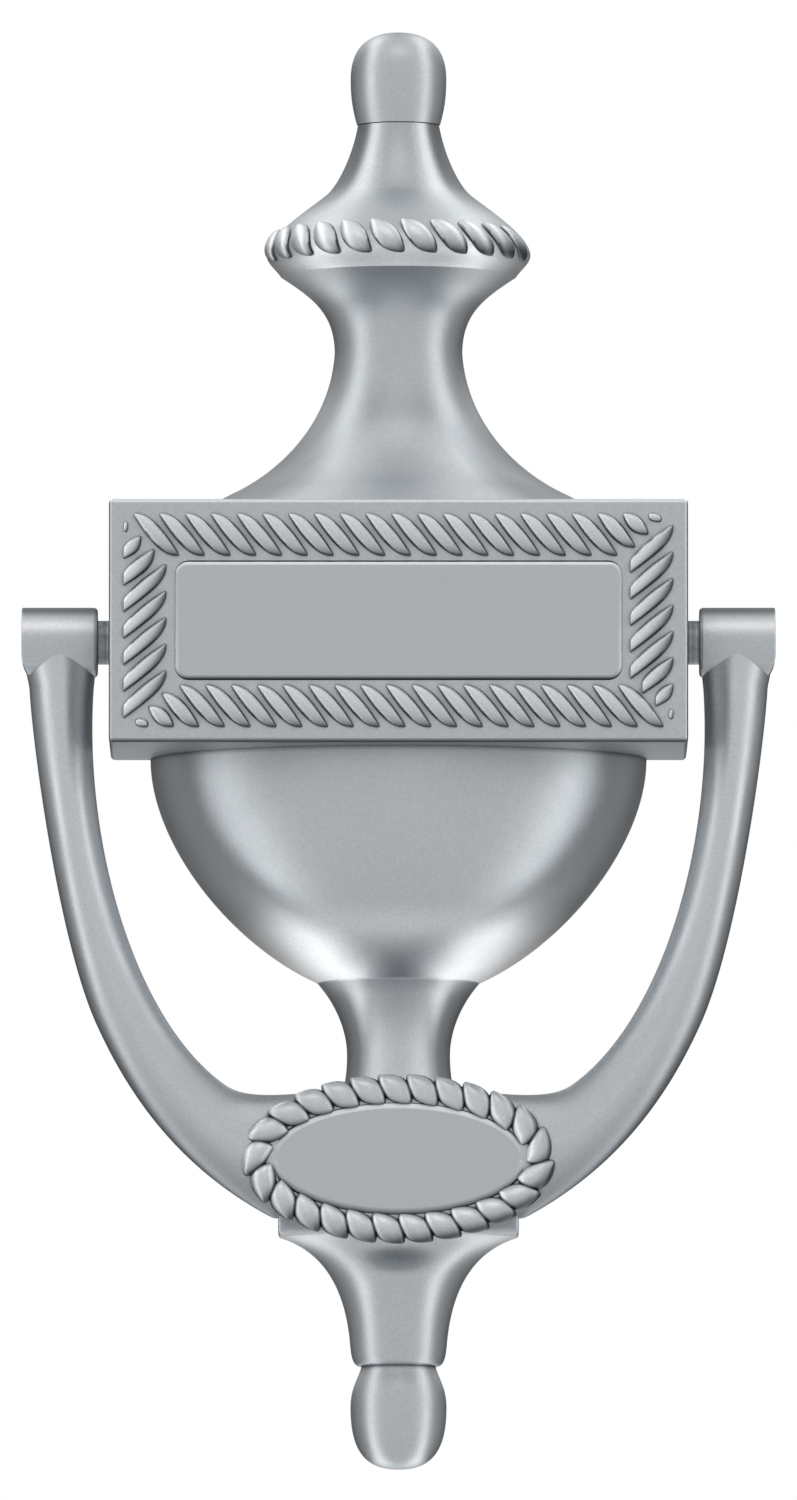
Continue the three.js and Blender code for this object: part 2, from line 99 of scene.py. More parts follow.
def makePiece(name, parts, material, body, nodes=(), sharp=38, paintedLightFacing=(0, 0, 1)):
    # Joins the parts, closes their seams and poles, turns each part's faces outwards and smooths all edges
    # flatter than the sharp angle. A part is points, faces and, where its tone varies, two values at each
    # point that make its painted light: share * (normal . the given direction) + crest, from -1 for painted
    # shade, where the skin is dull, to 1 for a painted highlight, where it is bright. The crests are set one
    # by one.
    points, faces, share, crest, count = [], [], [], [], 0
    for partPoints, partFaces, *buffs in parts:
        a, b, c, d = (partPoints[partFaces[:, k]] for k in range(4))
        volume = (np.einsum("ij,ij->i", a, np.cross(b, c)) + np.einsum("ij,ij->i", a, np.cross(c, d))).sum()
        points.append(partPoints)
        faces.append((partFaces if volume > 0 else partFaces[:, ::-1]) + count)
        share.append(buffs[0] if buffs else np.zeros(len(partPoints)))
        crest.append(buffs[1] if len(buffs) > 1 else np.zeros(len(partPoints)))
        count += len(partPoints)
    mesh = bpy.data.meshes.new(name)
    mesh.from_pydata(np.concatenate(points) * mm, [], np.concatenate(faces).tolist())
    mesh.attributes.new("buffed", "FLOAT", "POINT").data.foreach_set("value", np.concatenate(share))
    mesh.attributes.new("crest", "FLOAT", "POINT").data.foreach_set("value", np.concatenate(crest))
    work = bmesh.new()
    work.from_mesh(mesh)
    bmesh.ops.remove_doubles(work, verts=work.verts, dist=1e-6)
    bmesh.ops.dissolve_degenerate(work, edges=work.edges, dist=1e-7)
    work.to_mesh(mesh)
    work.free()
    mesh.polygons.foreach_set("use_smooth", np.ones(len(mesh.polygons), bool))
    mesh.set_sharp_from_angle(angle=math.radians(sharp))
    total = len(mesh.vertices)
    share, crest, normals = np.empty(total), np.empty(total), np.empty(total * 3)
    mesh.attributes["buffed"].data.foreach_get("value", share)
    mesh.attributes["crest"].data.foreach_get("value", crest)
    mesh.vertices.foreach_get("normal", normals)
    buffed = np.clip(share * (normals.reshape(-1, 3) @ np.array(paintedLightFacing)) + crest, -1, 1)
    mesh.attributes["buffed"].data.foreach_set("value", buffed)
    mesh.attributes.remove(mesh.attributes["crest"])
    piece = bpy.data.objects.new(name, mesh)
    bpy.context.scene.collection.objects.link(piece)
    mesh.materials.append(material)
    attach(piece, body)
    if nodes:
        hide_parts(*nodes)
    print("piece", name, len(mesh.polygons), "faces")
    return piece


def bezier(p0, p1, p2, p3, count):
    # cubic curve: the four points weighted by (1-t)^3, 3t(1-t)^2, 3t^2(1-t) and t^3
    t = np.linspace(0, 1, count)[:, None]
    p0, p1, p2, p3 = (np.array(p, float) for p in (p0, p1, p2, p3))
    return (1 - t) ** 3 * p0 + 3 * t * (1 - t) ** 2 * p1 + 3 * t * t * (1 - t) * p2 + t ** 3 * p3


def outline(start, *stretches):
    # a chain of curves (end, handle, handle, count) or straight lines (end,)
    line = [np.array([start], float)]
    for stretch in stretches:
        last = line[-1][-1]
        if len(stretch) == 1:
            line.append(np.array([stretch[0]], float))
        else:
            handleA, handleB, end, count = stretch
            line.append(bezier(last, handleA, handleB, end, count)[1:])
    return np.concatenate(line)


def lengthAlong(line):
    # distance from the start of an outline to each of its points
    return np.concatenate([[0], np.cumsum(np.hypot(*np.diff(line, axis=0).T))])


def ease(x, low, high):
    # smooth step from 0 at low to 1 at high
    t = np.clip((x - low) / (high - low), 0, 1)
    return t * t * (3 - 2 * t)


def turnedHalf(line, share, hollow, columns, wearAndPaintedLight=None):
    # Half turned form on the Z axis, flat on the door: x = r cos(a), y = -r share(z) sin(a) for a from 0 to
    # 180 degrees. It is closed behind by an inner face, inset by the wall's thickness where hollow gives one
    # and at the axis where hollow is 0. The last argument gives painted highlight and painted shade from the
    # height and the angle, -1 dark to 1 bright.
    r, z, wallHere = line[:, :1], line[:, 1:], hollow[:, None]
    depth = r * share(z)
    around = np.linspace(0, pi, columns)[None, :]
    outer = np.stack([r * np.cos(around), -depth * np.sin(around), z + 0 * around], -1)
    back = np.linspace(pi, 0, 25)[None, :]
    innerR = np.where(wallHere > 0, np.maximum(r - wallHere, 0), 0)
    innerD = np.where(wallHere > 0, np.maximum(depth - wallHere, 0), 0)
    inner = np.stack([innerR * np.cos(back), -innerD * np.sin(back), z + 0 * back], -1)
    ring = np.concatenate([outer, inner], 1)
    closing = ring[:1] * 0 + np.stack([0 * z[:1], 0 * z[:1], z[:1]], -1)
    ending = ring[-1:] * 0 + np.stack([0 * z[-1:], 0 * z[-1:], z[-1:]], -1)
    rings = np.concatenate([closing, ring, ending])
    if wearAndPaintedLight is None:
        return gridPart(rings, wrapCols=True)
    angles = np.concatenate([around, 0 * back], 1) + 0 * rings[..., 2]
    crest = wearAndPaintedLight(rings[..., 2], angles)
    crest[:, columns:] = -0.3  # the hollow is left as cast
    return *gridPart(rings, wrapCols=True), np.zeros(crest.size), crest.ravel()


def turnedOn(axis, line, centre, columns=48, shapeRadius=None):
    # fully turned form: radius and length along the X or Y axis through centre
    r, along = line[:, :1], line[:, 1:]
    around = np.linspace(0, 2 * pi, columns, endpoint=False)[None, :]
    radius = r if shapeRadius is None else shapeRadius(r, along, around)
    first, second = radius * np.cos(around), radius * np.sin(around)
    length = along + 0 * around
    order = {"x": [length, first, second], "y": [first, length, second]}[axis]
    return gridPart(np.stack(order, -1) + np.array(centre), wrapCols=True)


def cornerFans(halfX, lowZ, highZ, radius, steps=7):
    # the four corners of a rectangle with its fan of outward normals at each: centres of the corner
    # arcs, unit normals, and the square corner's own direction
    turn = np.linspace(0, pi / 2, steps)
    centre, normal, square = [], [], []
    for quarter, (signX, signZ) in enumerate([(1, 1), (-1, 1), (-1, -1), (1, -1)]):
        fan = turn + quarter * pi / 2
        middleX = signX * (halfX - radius)
        middleZ = highZ - radius if signZ > 0 else lowZ + radius
        centre += [(middleX, middleZ)] * steps
        normal += list(zip(np.cos(fan), np.sin(fan)))
        square += [(signX, signZ)] * steps
    return np.array(centre), np.array(normal), np.array(square)


def ringBox(halfX, lowZ, highZ, radius, back, front, wall=0, floorAt=0, seat=None):
    # Box with rounded front edges: rings carried out from a rectangle along its corner normals, then
    # back. A seat is a shallow rounded recess in the front, and a wall leaves an open pocket behind.
    base, normal, square = cornerFans(halfX, lowZ, highZ, radius)
    flat, depth = [], []
    if seat:
        seatBase, seatNormal, _ = cornerFans(*seat["rectangle"], seat["corner"])
        for offset, y in [(seat["corner"], seat["floor"]), (seat["corner"], front - 0.06),
                          (seat["corner"] + 0.06, front), (seat["corner"] + 0.4, front)]:
            flat.append(seatBase + offset * seatNormal)
            depth.append(y)
    flat.append(base - 0.45 * square)  # the edge of the flat front, inside the rounding
    depth.append(front)
    for a in np.linspace(0, pi / 2, 7):
        flat.append(base + radius * math.sin(a) * normal)
        depth.append(front - radius * (1 - math.cos(a)))
    flat.append(base + radius * normal)
    depth.append(back)
    if wall:
        for y in (back, floorAt):
            flat.append(base + (radius - wall) * square)
            depth.append(y)
    rings = [np.stack([ring[:, 0], np.full(len(ring), -y), ring[:, 1]], -1) for ring, y in zip(flat, depth)]
    middle = np.array([0, 0, (lowZ + highZ) / 2])
    start = rings[0] * 0 + middle + np.array([0, rings[0][0, 1], 0])
    finish = rings[-1] * 0 + middle + np.array([0, rings[-1][0, 1], 0])
    first = 6 if seat else 2  # the rings of the rounding, after the start and the flat ones
    # painted light on the rounded edge and the sides: a painted highlight where they face up, painted shade
    # where they face down
    share = np.zeros((len(rings) + 2, len(base)))
    share[first + 1:first + 6] = 1.6
    share[first + 6:first + 8] = 0.65  # the sides: painted shade below, painted highlight above
    crest = 0 * share
    crest[first + 4:first + 7] = -0.8 * np.abs(normal[:, 0])  # painted shade down the side edges
    crest[first + 8:] = -0.3  # the pocket is left as cast
    return *gridPart(np.stack([start] + rings + [finish]), wrapCols=True), share.ravel(), crest.ravel()


def hexColour(code):
    # sRGB hex to linear red, green, blue and alpha
    values = [int(code[i:i + 2], 16) / 255 for i in (1, 3, 5)]
    return tuple([v / 12.92 if v <= 0.04045 else ((v + 0.055) / 1.055) ** 2.4 for v in values] + [1.0])


def addNode(tree, kind, links=(), stops=(), **settings):
    # one node with its settings and links as (from socket, to input); the stops of a colour ramp are
    # (position, grey value or colour)
    node = tree.nodes.new(kind)
    for key, value in settings.items():
        if key.startswith("in_"):
            name = key[3:]
            socket = node.inputs[int(name)] if name.isdigit() else node.inputs[name.replace("_", " ")]
            socket.default_value = value
        else:
            setattr(node, key, value)
    for source, target in links:
        tree.links.new(source, node.inputs[target])
    elements = node.color_ramp.elements if stops else ()
    while len(elements) < len(stops):
        elements.new(0.5)
    for element, (position, value) in zip(elements, stops):
        element.position = position
        element.color = value if isinstance(value, tuple) else (value, value, value, 1)
    return node


def newMetal(name):
    # a new metal's material, node tree, shader and place on the object
    material = bpy.data.materials.new(name)
    material.use_nodes = True
    tree = material.node_tree
    shader = tree.nodes["Principled BSDF"]
    shader.inputs["Metallic"].default_value = 1.0
    return material, tree, shader, addNode(tree, "ShaderNodeTexCoord").outputs["Object"]


castNickel = {
    "bright": "#F4F6F8",  # painted highlight, where the painted-light value is 1
    "dull": "#5C6166",  # painted shade, where the painted-light value is -1
    "body": "#CFD4D8",  # the metal's own tone, where the painted-light value is 0
    "deep": "#4E5358",  # painted shade in the grooves and crevices
    "roughness": 0.40,
    "roughnessSpread": 0.08,
    "grain": 0.06,  # how far a dimple's tone strays from the mean
    "gritMm": 0.34,  # bead-blast dimples, drawn coarser than real ones so that they show
    "gritDepthMm": 0.018,
    "castWaveMm": 9,  # slow unevenness of the cast skin
    "castWaveDepthMm": 0.02,
}


def blastedNickel(name, look):
    # Nickel plate over a cast and bead-blasted skin: a satin metal with a fine grain, softly spread
    # highlights, painted highlight and painted shade in its tone from the painted-light value, and painted
    # shade in the grooves.
    material, tree, shader, place = newMetal(name)
    grit = addNode(tree, "ShaderNodeTexNoise", [(place, "Vector")],
                   in_Scale=1 / (look["gritMm"] * mm), in_Detail=2.0, in_Roughness=0.6)
    wave = addNode(tree, "ShaderNodeTexNoise", [(place, "Vector")],
                   in_Scale=1 / (look["castWaveMm"] * mm), in_Detail=3.0, in_Roughness=0.5)
    # painted shade in crevices: a crevice is where rays of up to 1 mm, cast out from the surface, meet
    # something
    crevice = addNode(tree, "ShaderNodeAmbientOcclusion", samples=8, in_Distance=1.0 * mm)
    # the painted-light attribute sets the tone from painted shade to painted highlight
    buffed = addNode(tree, "ShaderNodeAttribute", attribute_name="buffed").outputs["Fac"]
    creaseShade = addNode(tree, "ShaderNodeValToRGB", [(crevice.outputs["AO"], "Fac")], [(0.3, 1), (0.86, 0)])
    lee = addNode(tree, "ShaderNodeMapRange", [(buffed, "Value")], in_1=-1, in_2=1)
    tones = [(0, hexColour(look["dull"])), (0.5, hexColour(look["body"])), (1, hexColour(look["bright"]))]
    tone = addNode(tree, "ShaderNodeValToRGB", [(lee.outputs["Result"], "Fac")], tones)
    grain = addNode(tree, "ShaderNodeMapRange", [(grit.outputs["Fac"], "Value")], in_1=0.3, in_2=0.7,
                    in_3=1 - look["grain"], in_4=1 + look["grain"])
    speckled = addNode(tree, "ShaderNodeVectorMath",
                       [(tone.outputs["Color"], 0), (grain.outputs["Result"], 3)], operation="SCALE")
    shade = addNode(tree, "ShaderNodeMix", [(creaseShade.outputs["Color"], "Factor")], data_type="RGBA")
    tree.links.new(speckled.outputs["Vector"], shade.inputs["A"])
    shade.inputs["B"].default_value = hexColour(look["deep"])
    tree.links.new(shade.outputs["Result"], shader.inputs["Base Color"])
    rough = addNode(tree, "ShaderNodeMapRange", [(wave.outputs["Fac"], "Value")], in_1=0.3, in_2=0.7,
                    in_3=look["roughness"] - look["roughnessSpread"] / 2,
                    in_4=look["roughness"] + look["roughnessSpread"] / 2)
    tree.links.new(rough.outputs["Result"], shader.inputs["Roughness"])
    slow = addNode(tree, "ShaderNodeBump", [(wave.outputs["Fac"], "Height")],
                   in_Strength=1.0, in_Distance=look["castWaveDepthMm"] * mm)
    fine = addNode(tree, "ShaderNodeBump",
                   [(grit.outputs["Fac"], "Height"), (slow.outputs["Normal"], "Normal")],
                   in_Strength=1.0, in_Distance=look["gritDepthMm"] * mm)
    tree.links.new(fine.outputs["Normal"], shader.inputs["Normal"])
    return material


satinCasting = blastedNickel("satin_nickel_casting", castNickel)
satinPlate = blastedNickel("satin_nickel_plate", {
    **castNickel, "roughness": 0.38, "roughnessSpread": 0.03, "gritDepthMm": 0.004, "castWaveDepthMm": 0.004,
    "grain": 0.02,
})


def turnedSteel(name, centre, axis, look):
    # Lathe-turned steel: fine rings round the piece's own axis, on its sides and its end faces alike,
    # that catch the light as thin bright and dark lines.
    material, tree, shader, place = newMetal(name)
    local = addNode(tree, "ShaderNodeVectorMath", [(place, 0)],
                    operation="SUBTRACT", in_1=np.array(centre) * mm)
    along = addNode(tree, "ShaderNodeVectorMath", [(local.outputs[0], 0)], operation="DOT_PRODUCT", in_1=axis)
    off = addNode(tree, "ShaderNodeVectorMath", [(local.outputs[0], 0)], operation="CROSS_PRODUCT", in_1=axis)
    radial = addNode(tree, "ShaderNodeVectorMath", [(off.outputs[0], 0)], operation="LENGTH")
    line = addNode(tree, "ShaderNodeMath", [(along.outputs["Value"], 0), (radial.outputs["Value"], 1)],
                   operation="ADD")
    rings = addNode(tree, "ShaderNodeTexNoise", [(line.outputs[0], "W")], noise_dimensions="1D",
                    in_Scale=1 / (look["ringMm"] * mm), in_Detail=2.0)
    stains = addNode(tree, "ShaderNodeTexNoise", [(place, "Vector")],
                     in_Scale=1 / (look["stainMm"] * mm), in_Detail=4.0)
    mixed = addNode(tree, "ShaderNodeMath", [(rings.outputs["Fac"], 0), (stains.outputs["Fac"], 1)],
                    operation="MULTIPLY")
    tone = addNode(tree, "ShaderNodeMapRange", [(mixed.outputs[0], "Value")], in_1=0.08, in_2=0.46)
    shade = addNode(tree, "ShaderNodeMix", [(tone.outputs["Result"], "Factor")], data_type="RGBA")
    shade.inputs["A"].default_value = hexColour(look["dark"])
    shade.inputs["B"].default_value = hexColour(look["light"])
    tree.links.new(shade.outputs["Result"], shader.inputs["Base Color"])
    rough = addNode(tree, "ShaderNodeMapRange", [(stains.outputs["Fac"], "Value")],
                    in_3=look["roughness"] - 0.06, in_4=look["roughness"] + 0.08)
    tree.links.new(rough.outputs["Result"], shader.inputs["Roughness"])
    bump = addNode(tree, "ShaderNodeBump", [(rings.outputs["Fac"], "Height")],
                   in_Strength=1.0, in_Distance=look["ringDepthMm"] * mm)
    tree.links.new(bump.outputs["Normal"], shader.inputs["Normal"])
    return material


pinLook = {
    "dark": "#5E6367",
    "light": "#B4B8BB",
    "roughness": 0.28,
    "ringMm": 0.25,  # real tool marks are finer; drawn coarser so that they show
    "ringDepthMm": 0.006,
    "stainMm": 1.5,
}
zincLook = {
    "dark": "#9B9D97",  # clear zinc plate, slightly warm and cloudy
    "light": "#CFD0CB",
    "roughness": 0.33,
    "ringMm": 0.5,
    "ringDepthMm": 0.004,
    "stainMm": 3,
}


urn = {
    "wall": 3.2,
    "blockTop": 18.1,
    "blockBottom": -14.6,
    "blockRadius": 0.62,
    "neckFootRadius": 29.5,
    "neckRadius": 8.6,
    "neckHeight": 22.4,
    "neckFlatten": 0.9,
    "flangeRadius": 17.8,
    "flangeHeight": 35.6,
    "coneRadius": 5.5,
    "coneHeight": 53.1,
    "finialRadius": 6.46,
    "bowlRadius": 33.4,
    "bowlDepth": 23.6,
    "bowlLength": 30.2,
    "creaseRadius": 10.9,
    "stemRadius": 6.93,
    "stemDrop": 9.7,
    "stemFoot": 9,
    "ledgeHeight": 15.6,
    "ledgeWidth": 32.3,
    "ledgeRadius": 0.45,
    "bellRadius": 6.55,
    "bellLength": 17.4,
    "ballRadius": 6.46,
    "ballNeckRadius": 5,
    "columns": 200,
}
blockHalf = bodyHigh[0]
blockFront = -plateHigh[1] + (plateHigh[1] - plateLow[1]) - 0.4  # the name plate stands 0.4 proud
blockMiddle = (urn["blockTop"] + urn["blockBottom"]) / 2
neckZ = urn["blockTop"] + urn["neckHeight"]
flangeZ = urn["blockTop"] + urn["flangeHeight"]
coneZ = urn["blockTop"] + urn["coneHeight"]
creaseZ = urn["blockBottom"] - urn["bowlLength"]
stemZ = creaseZ - urn["stemDrop"]
ledgeTop = stemZ - urn["stemFoot"]
ledgeBottom = ledgeTop - urn["ledgeHeight"]
ledgeDepth = -buttonHigh[1] - 0.3  # the strike button rests 0.3 in front of the ledge
bellZ = ledgeBottom - urn["bellLength"]


def neckShare(z):
    return urn["neckFlatten"] + (1 - urn["neckFlatten"]) * ease(z, urn["blockTop"], neckZ)


def bowlShare(z):
    return 1 + (urn["bowlDepth"] / urn["bowlRadius"] - 1) * ease(z, creaseZ, urn["blockBottom"])


def bellShare(z):
    return 1 + ((ledgeDepth - 0.2) / (urn["ledgeWidth"] / 2) - 1) * ease(z, ledgeBottom - 7, ledgeBottom)


def upperOutline():
    # from the block up: neck, scotia under the flange, its lip, flange rim, hollow cone
    u = urn
    r, c = u["flangeRadius"], u["coneRadius"]
    return outline(
        (u["neckFootRadius"], u["blockTop"] - 0.6),
        ((22.8, u["blockTop"] + 2.96),),
        ((16.8, u["blockTop"] + 5.7), (u["neckRadius"] + 0.6, neckZ - 10.1), (u["neckRadius"], neckZ), 44),
        ((u["neckRadius"] + 0.1, neckZ + 5.3), (r - 6.4, flangeZ - 5.9), (r - 1.95, flangeZ - 3.0), 34),
        ((r - 1.95, flangeZ - 2.98),),
        ((r - 1.25, flangeZ - 1.9), (r, flangeZ - 1.1), (r, flangeZ), 20),
        ((r - 0.1, flangeZ + 2.5), (r - 5.5, flangeZ + 6.05), (r - 7.9, flangeZ + 7.95), 40),
        ((r - 9.6, flangeZ + 9.3), (c + 0.7, coneZ - 4), (c, coneZ), 34),
    )


def finialOutline():
    u = urn
    length = bodyHigh[2] - coneZ
    return outline(
        (u["coneRadius"] - 0.35, coneZ - 0.5),
        ((u["coneRadius"] - 0.35, coneZ + 0.02),),
        ((u["coneRadius"] + 0.1, coneZ + 0.12),),
        ((u["coneRadius"] + 0.75, coneZ + 2.5), (u["finialRadius"], coneZ + 4),
         (u["finialRadius"], coneZ + length / 2), 24),
        ((u["finialRadius"], coneZ + length * 0.86), (u["finialRadius"] * 0.6, coneZ + length),
         (0.02, coneZ + length), 34),
    )


def bowlOutline():
    u = urn
    return outline(
        (u["stemRadius"] + 3, ledgeTop - 1),
        ((u["stemRadius"] + 0.6, ledgeTop + 2), (u["stemRadius"], stemZ - 3.2), (u["stemRadius"], stemZ), 22),
        ((u["stemRadius"], stemZ + u["stemDrop"] * 0.35), (u["creaseRadius"] - 2.4, creaseZ - 2.7),
         (u["creaseRadius"], creaseZ), 26),
        ((u["bowlRadius"] * 0.69, creaseZ + 5.5), (u["bowlRadius"], u["blockBottom"] - 10.9),
         (u["bowlRadius"], u["blockBottom"]), 56),
        ((u["bowlRadius"], u["blockBottom"] + 0.4),),
    )


def bellOutline():
    u = urn
    ballLength = bellZ - bodyLow[2]
    edge = u["ledgeWidth"] / 2 - 0.2
    return outline(
        (0.02, bodyLow[2]),
        ((u["ballRadius"] * 0.6, bodyLow[2]), (u["ballRadius"], bellZ - ballLength * 0.87),
         (u["ballRadius"], bellZ - ballLength * 0.4), 34),
        ((u["ballRadius"], bellZ - ballLength * 0.2), (u["ballNeckRadius"] + 0.5, bellZ - 1.8),
         (u["ballNeckRadius"], bellZ), 20),
        ((u["bellRadius"] - 1.1, bellZ + 0.1),),
        ((u["bellRadius"] - 0.3, bellZ + 0.5), (u["bellRadius"] - 0.15, bellZ + 1.6),
         (u["bellRadius"], bellZ + u["bellLength"] * 0.2), 16),
        ((u["bellRadius"] + 0.5, bellZ + u["bellLength"] * 0.48), (u["ledgeWidth"] * 0.27, ledgeBottom - 2.2),
         (edge, ledgeBottom), 40),
        ((edge, ledgeBottom + 0.4),),
    )


def withPocket(line, inPocket):
    # doubles the outline's points at the pocket's ends, so that the hollow starts at a flat floor
    hollow = np.where(inPocket(line), urn["wall"], 0.0)
    change = np.nonzero(np.diff(hollow))[0]
    for k in change[::-1]:
        line = np.insert(line, k + 1, line[k + 1] if hollow[k] == 0 else line[k], axis=0)
        hollow = np.insert(hollow, k + 1, hollow[k] if hollow[k] == 0 else 0)
    return line, hollow


def neckPaintedLight(z, angle):
    # painted highlight on the rim from its crease up, painted shade in the hollow just below it and on the
    # throat's front, painted highlight and shade bands on the cone's flanks; the neck's foot has a painted
    # highlight in front and painted shade at its sides
    side = np.abs(angle - pi / 2)
    rim = ease(z, flangeZ - 2.995, flangeZ - 2.985) * (1 - ease(z, flangeZ - 1.4, flangeZ + 2.5))
    hollow = ease(z, flangeZ - 6.5, flangeZ - 3.1) * (z < flangeZ - 2.99)
    foot = 1 - ease(z, urn["blockTop"] + 6, urn["blockTop"] + 15)
    footTone = 0.75 * (1 - ease(side, 0.3, 0.6)) - 0.6 * ease(side, 0.45, 0.8)
    throat = np.exp(-((z - urn["blockTop"] - 13) / 4) ** 2) * (1 - ease(side, 0.3, 0.6))
    cone = ease(z, flangeZ + 4, flangeZ + 8)
    flank = 0.6 * np.exp(-((side - 0.52) / 0.16) ** 2) - 0.15 - 0.4 * ease(side, 0.65, 0.9)
    return rim - hollow * 0.35 + foot * footTone - 0.28 * throat + cone * flank


def bowlPaintedLight(z, angle):
    # painted highlight down the front of the stem and round the foot of the bowl, painted shade at the stem's
    # far sides
    side = np.abs(angle - pi / 2)
    front = 0.4 + 0.6 * np.exp(-((side - 0.42) / 0.22) ** 2) - 0.7 * ease(side, 0.6, 0.9)
    stem = 1 - ease(z, creaseZ - 2.5, creaseZ - 0.01)
    foot = ease(z, creaseZ - 0.01, creaseZ) * (1 - ease(z, creaseZ + 5, creaseZ + 10))
    return stem * front + foot


def makeUrn():
    upper, upperHollow = withPocket(upperOutline(), lambda p: (p[:, 1] > urn["blockTop"]) & (p[:, 1] < neckZ))
    makePiece("urnNeck", [turnedHalf(upper, neckShare, upperHollow, urn["columns"], neckPaintedLight)],
              satinCasting, "backplate", ["urn_body"], sharp=14)
    solid = finialOutline()
    makePiece("urnFinial", [turnedHalf(solid, lambda z: 1 + 0 * z, np.zeros(len(solid)), 120)],
              satinCasting, "backplate")
    bowl, bowlHollow = withPocket(
        bowlOutline(), lambda p: (p[:, 1] > creaseZ + urn["wall"]) & (p[:, 1] < urn["blockBottom"]))
    makePiece("urnBowl", [turnedHalf(bowl, bowlShare, bowlHollow, urn["columns"], bowlPaintedLight)],
              satinCasting, "backplate", sharp=20)
    bell = bellOutline()
    makePiece("urnBell", [turnedHalf(bell, bellShare, np.zeros(len(bell)), 140)],
              satinCasting, "backplate")
    ledge = ringBox(urn["ledgeWidth"] / 2, ledgeBottom, ledgeTop, urn["ledgeRadius"], 0, ledgeDepth)
    makePiece("strikeLedge", [ledge[:2]], satinCasting, "backplate")
    seat = {"rectangle": (plateHigh[0] - 0.04, plateLow[2] - 0.13, plateHigh[2] + 0.13),
            "corner": 1.75, "floor": blockFront - 0.5}
    block = ringBox(blockHalf, urn["blockBottom"], urn["blockTop"], urn["blockRadius"], 0, blockFront,
                    urn["wall"], blockFront - urn["wall"], seat)
    rib = ringBox(2.5, creaseZ + 1, neckZ + 2, 0.5, 0.02, 6)
    makePiece("urnBlock", [block, rib], satinCasting, "backplate")


makeUrn()
print("urn done")


rope = {
    "relief": 0.95,  # height of a strand
    "sink": 0.12,  # how far a strand's foot goes under its ground
    "bandWidth": 5.7,
    "margin": 2.0,  # block edge to rope
    "rowPitch": 3.45,
    "columnPitch": 3.557,
    "rowStart": 1.5,  # first strand of a row, from the corner of the bands' centre lines
    "columnStart": 1.75,
    "clear": 2.45,  # from a band's first strand line to the cut ends beside it
    "halfStrand": 1.34,  # half a strand's width along the rope
    # painted light on the strands: by which way their surface faces, along their crests, and as painted shade
    # along their feet
    "paintedLightFacing": 1.25,
    "crestHighlight": 0.95,
    "footShade": 0.9,  # painted shade where a strand meets its ground
    "swell": 0.5,  # how far each long side bulges near its own end
    "fullness": 0.32,  # small for blunt strand ends, 0.5 for a pointed oval
    "squareEnd": 0.8,  # how far along its own length a column's strand is cut by the band's inner edge
}


def strandSheet(halfAcross, lean, halfWidth, relief, cut=(-1, 1), square=(1, 1), rows=22, cols=15):
    # One strand over its ground. Across the rope a runs from -1 to 1 and along the rope u follows
    # lean * a, with sides at halfWidth * (1 - a^2)^fullness, each bulging near its own end; the height
    # is a round arch across the strand that dies out at both tips. A square end below 1 cuts the strand
    # off before its tip. Returned as (across, along, height).
    a = np.linspace(-1, 1, rows)
    a = np.sin(a * pi / 2)[:, None]
    t = np.sin(np.linspace(-1, 1, cols) * pi / 2)[None, :]
    shaped = np.where(a < 0, a * square[0], a * square[1])
    body = np.maximum(1 - shaped * shaped, 0) ** rope["fullness"]
    side = halfWidth * body * (1 - rope["swell"] * shaped * np.sign(t))
    across = cut[0] + (a + 1) / 2 * (cut[1] - cut[0])
    short = (cut[1] - cut[0]) / 2
    u = lean * across + side * t * min(1, 0.45 + short)
    height = relief * min(1, 0.4 + short) * np.sqrt(np.maximum(1 - t * t, 0)) * body ** 0.8
    return np.stack([across * halfAcross + 0 * t, u, height], -1)


def strandPart(sheet, place, turn=1):
    # The strand's top and a flat foot under it make one closed body. Its crest gets a painted highlight,
    # brightest near the end where it starts, or near its other end when it is turned half round, with painted
    # shade towards its far end and along its foot.
    top = place(sheet[..., 0], sheet[..., 1], sheet[..., 2])
    foot = place(sheet[..., 0], sheet[..., 1], 0 * sheet[..., 2] - rope["sink"])
    loop = np.concatenate([top, foot[:, ::-1]], 1)
    caps = [np.broadcast_to(foot[k].mean(0), loop[:1].shape) for k in (0, -1)]
    rise = np.concatenate([sheet[..., 2], 0 * sheet[..., 2]], 1) / sheet[..., 2].max()
    along = np.linspace(1, 0, len(rise))[::turn, None]
    crest = rope["crestHighlight"] * (rise ** 2 * (0.1 + 1.5 * along) - 0.6 * (1 - along))
    crest = crest - rope["footShade"] * (rise < 0.42)
    crest[:, sheet.shape[1]:] = 0  # the foot
    crest = np.concatenate([crest[:1], crest, crest[-1:]])
    loop = np.concatenate([caps[0], loop, caps[1]])
    return *gridPart(loop, wrapCols=True), np.full(crest.size, rope["paintedLightFacing"]), crest.ravel()


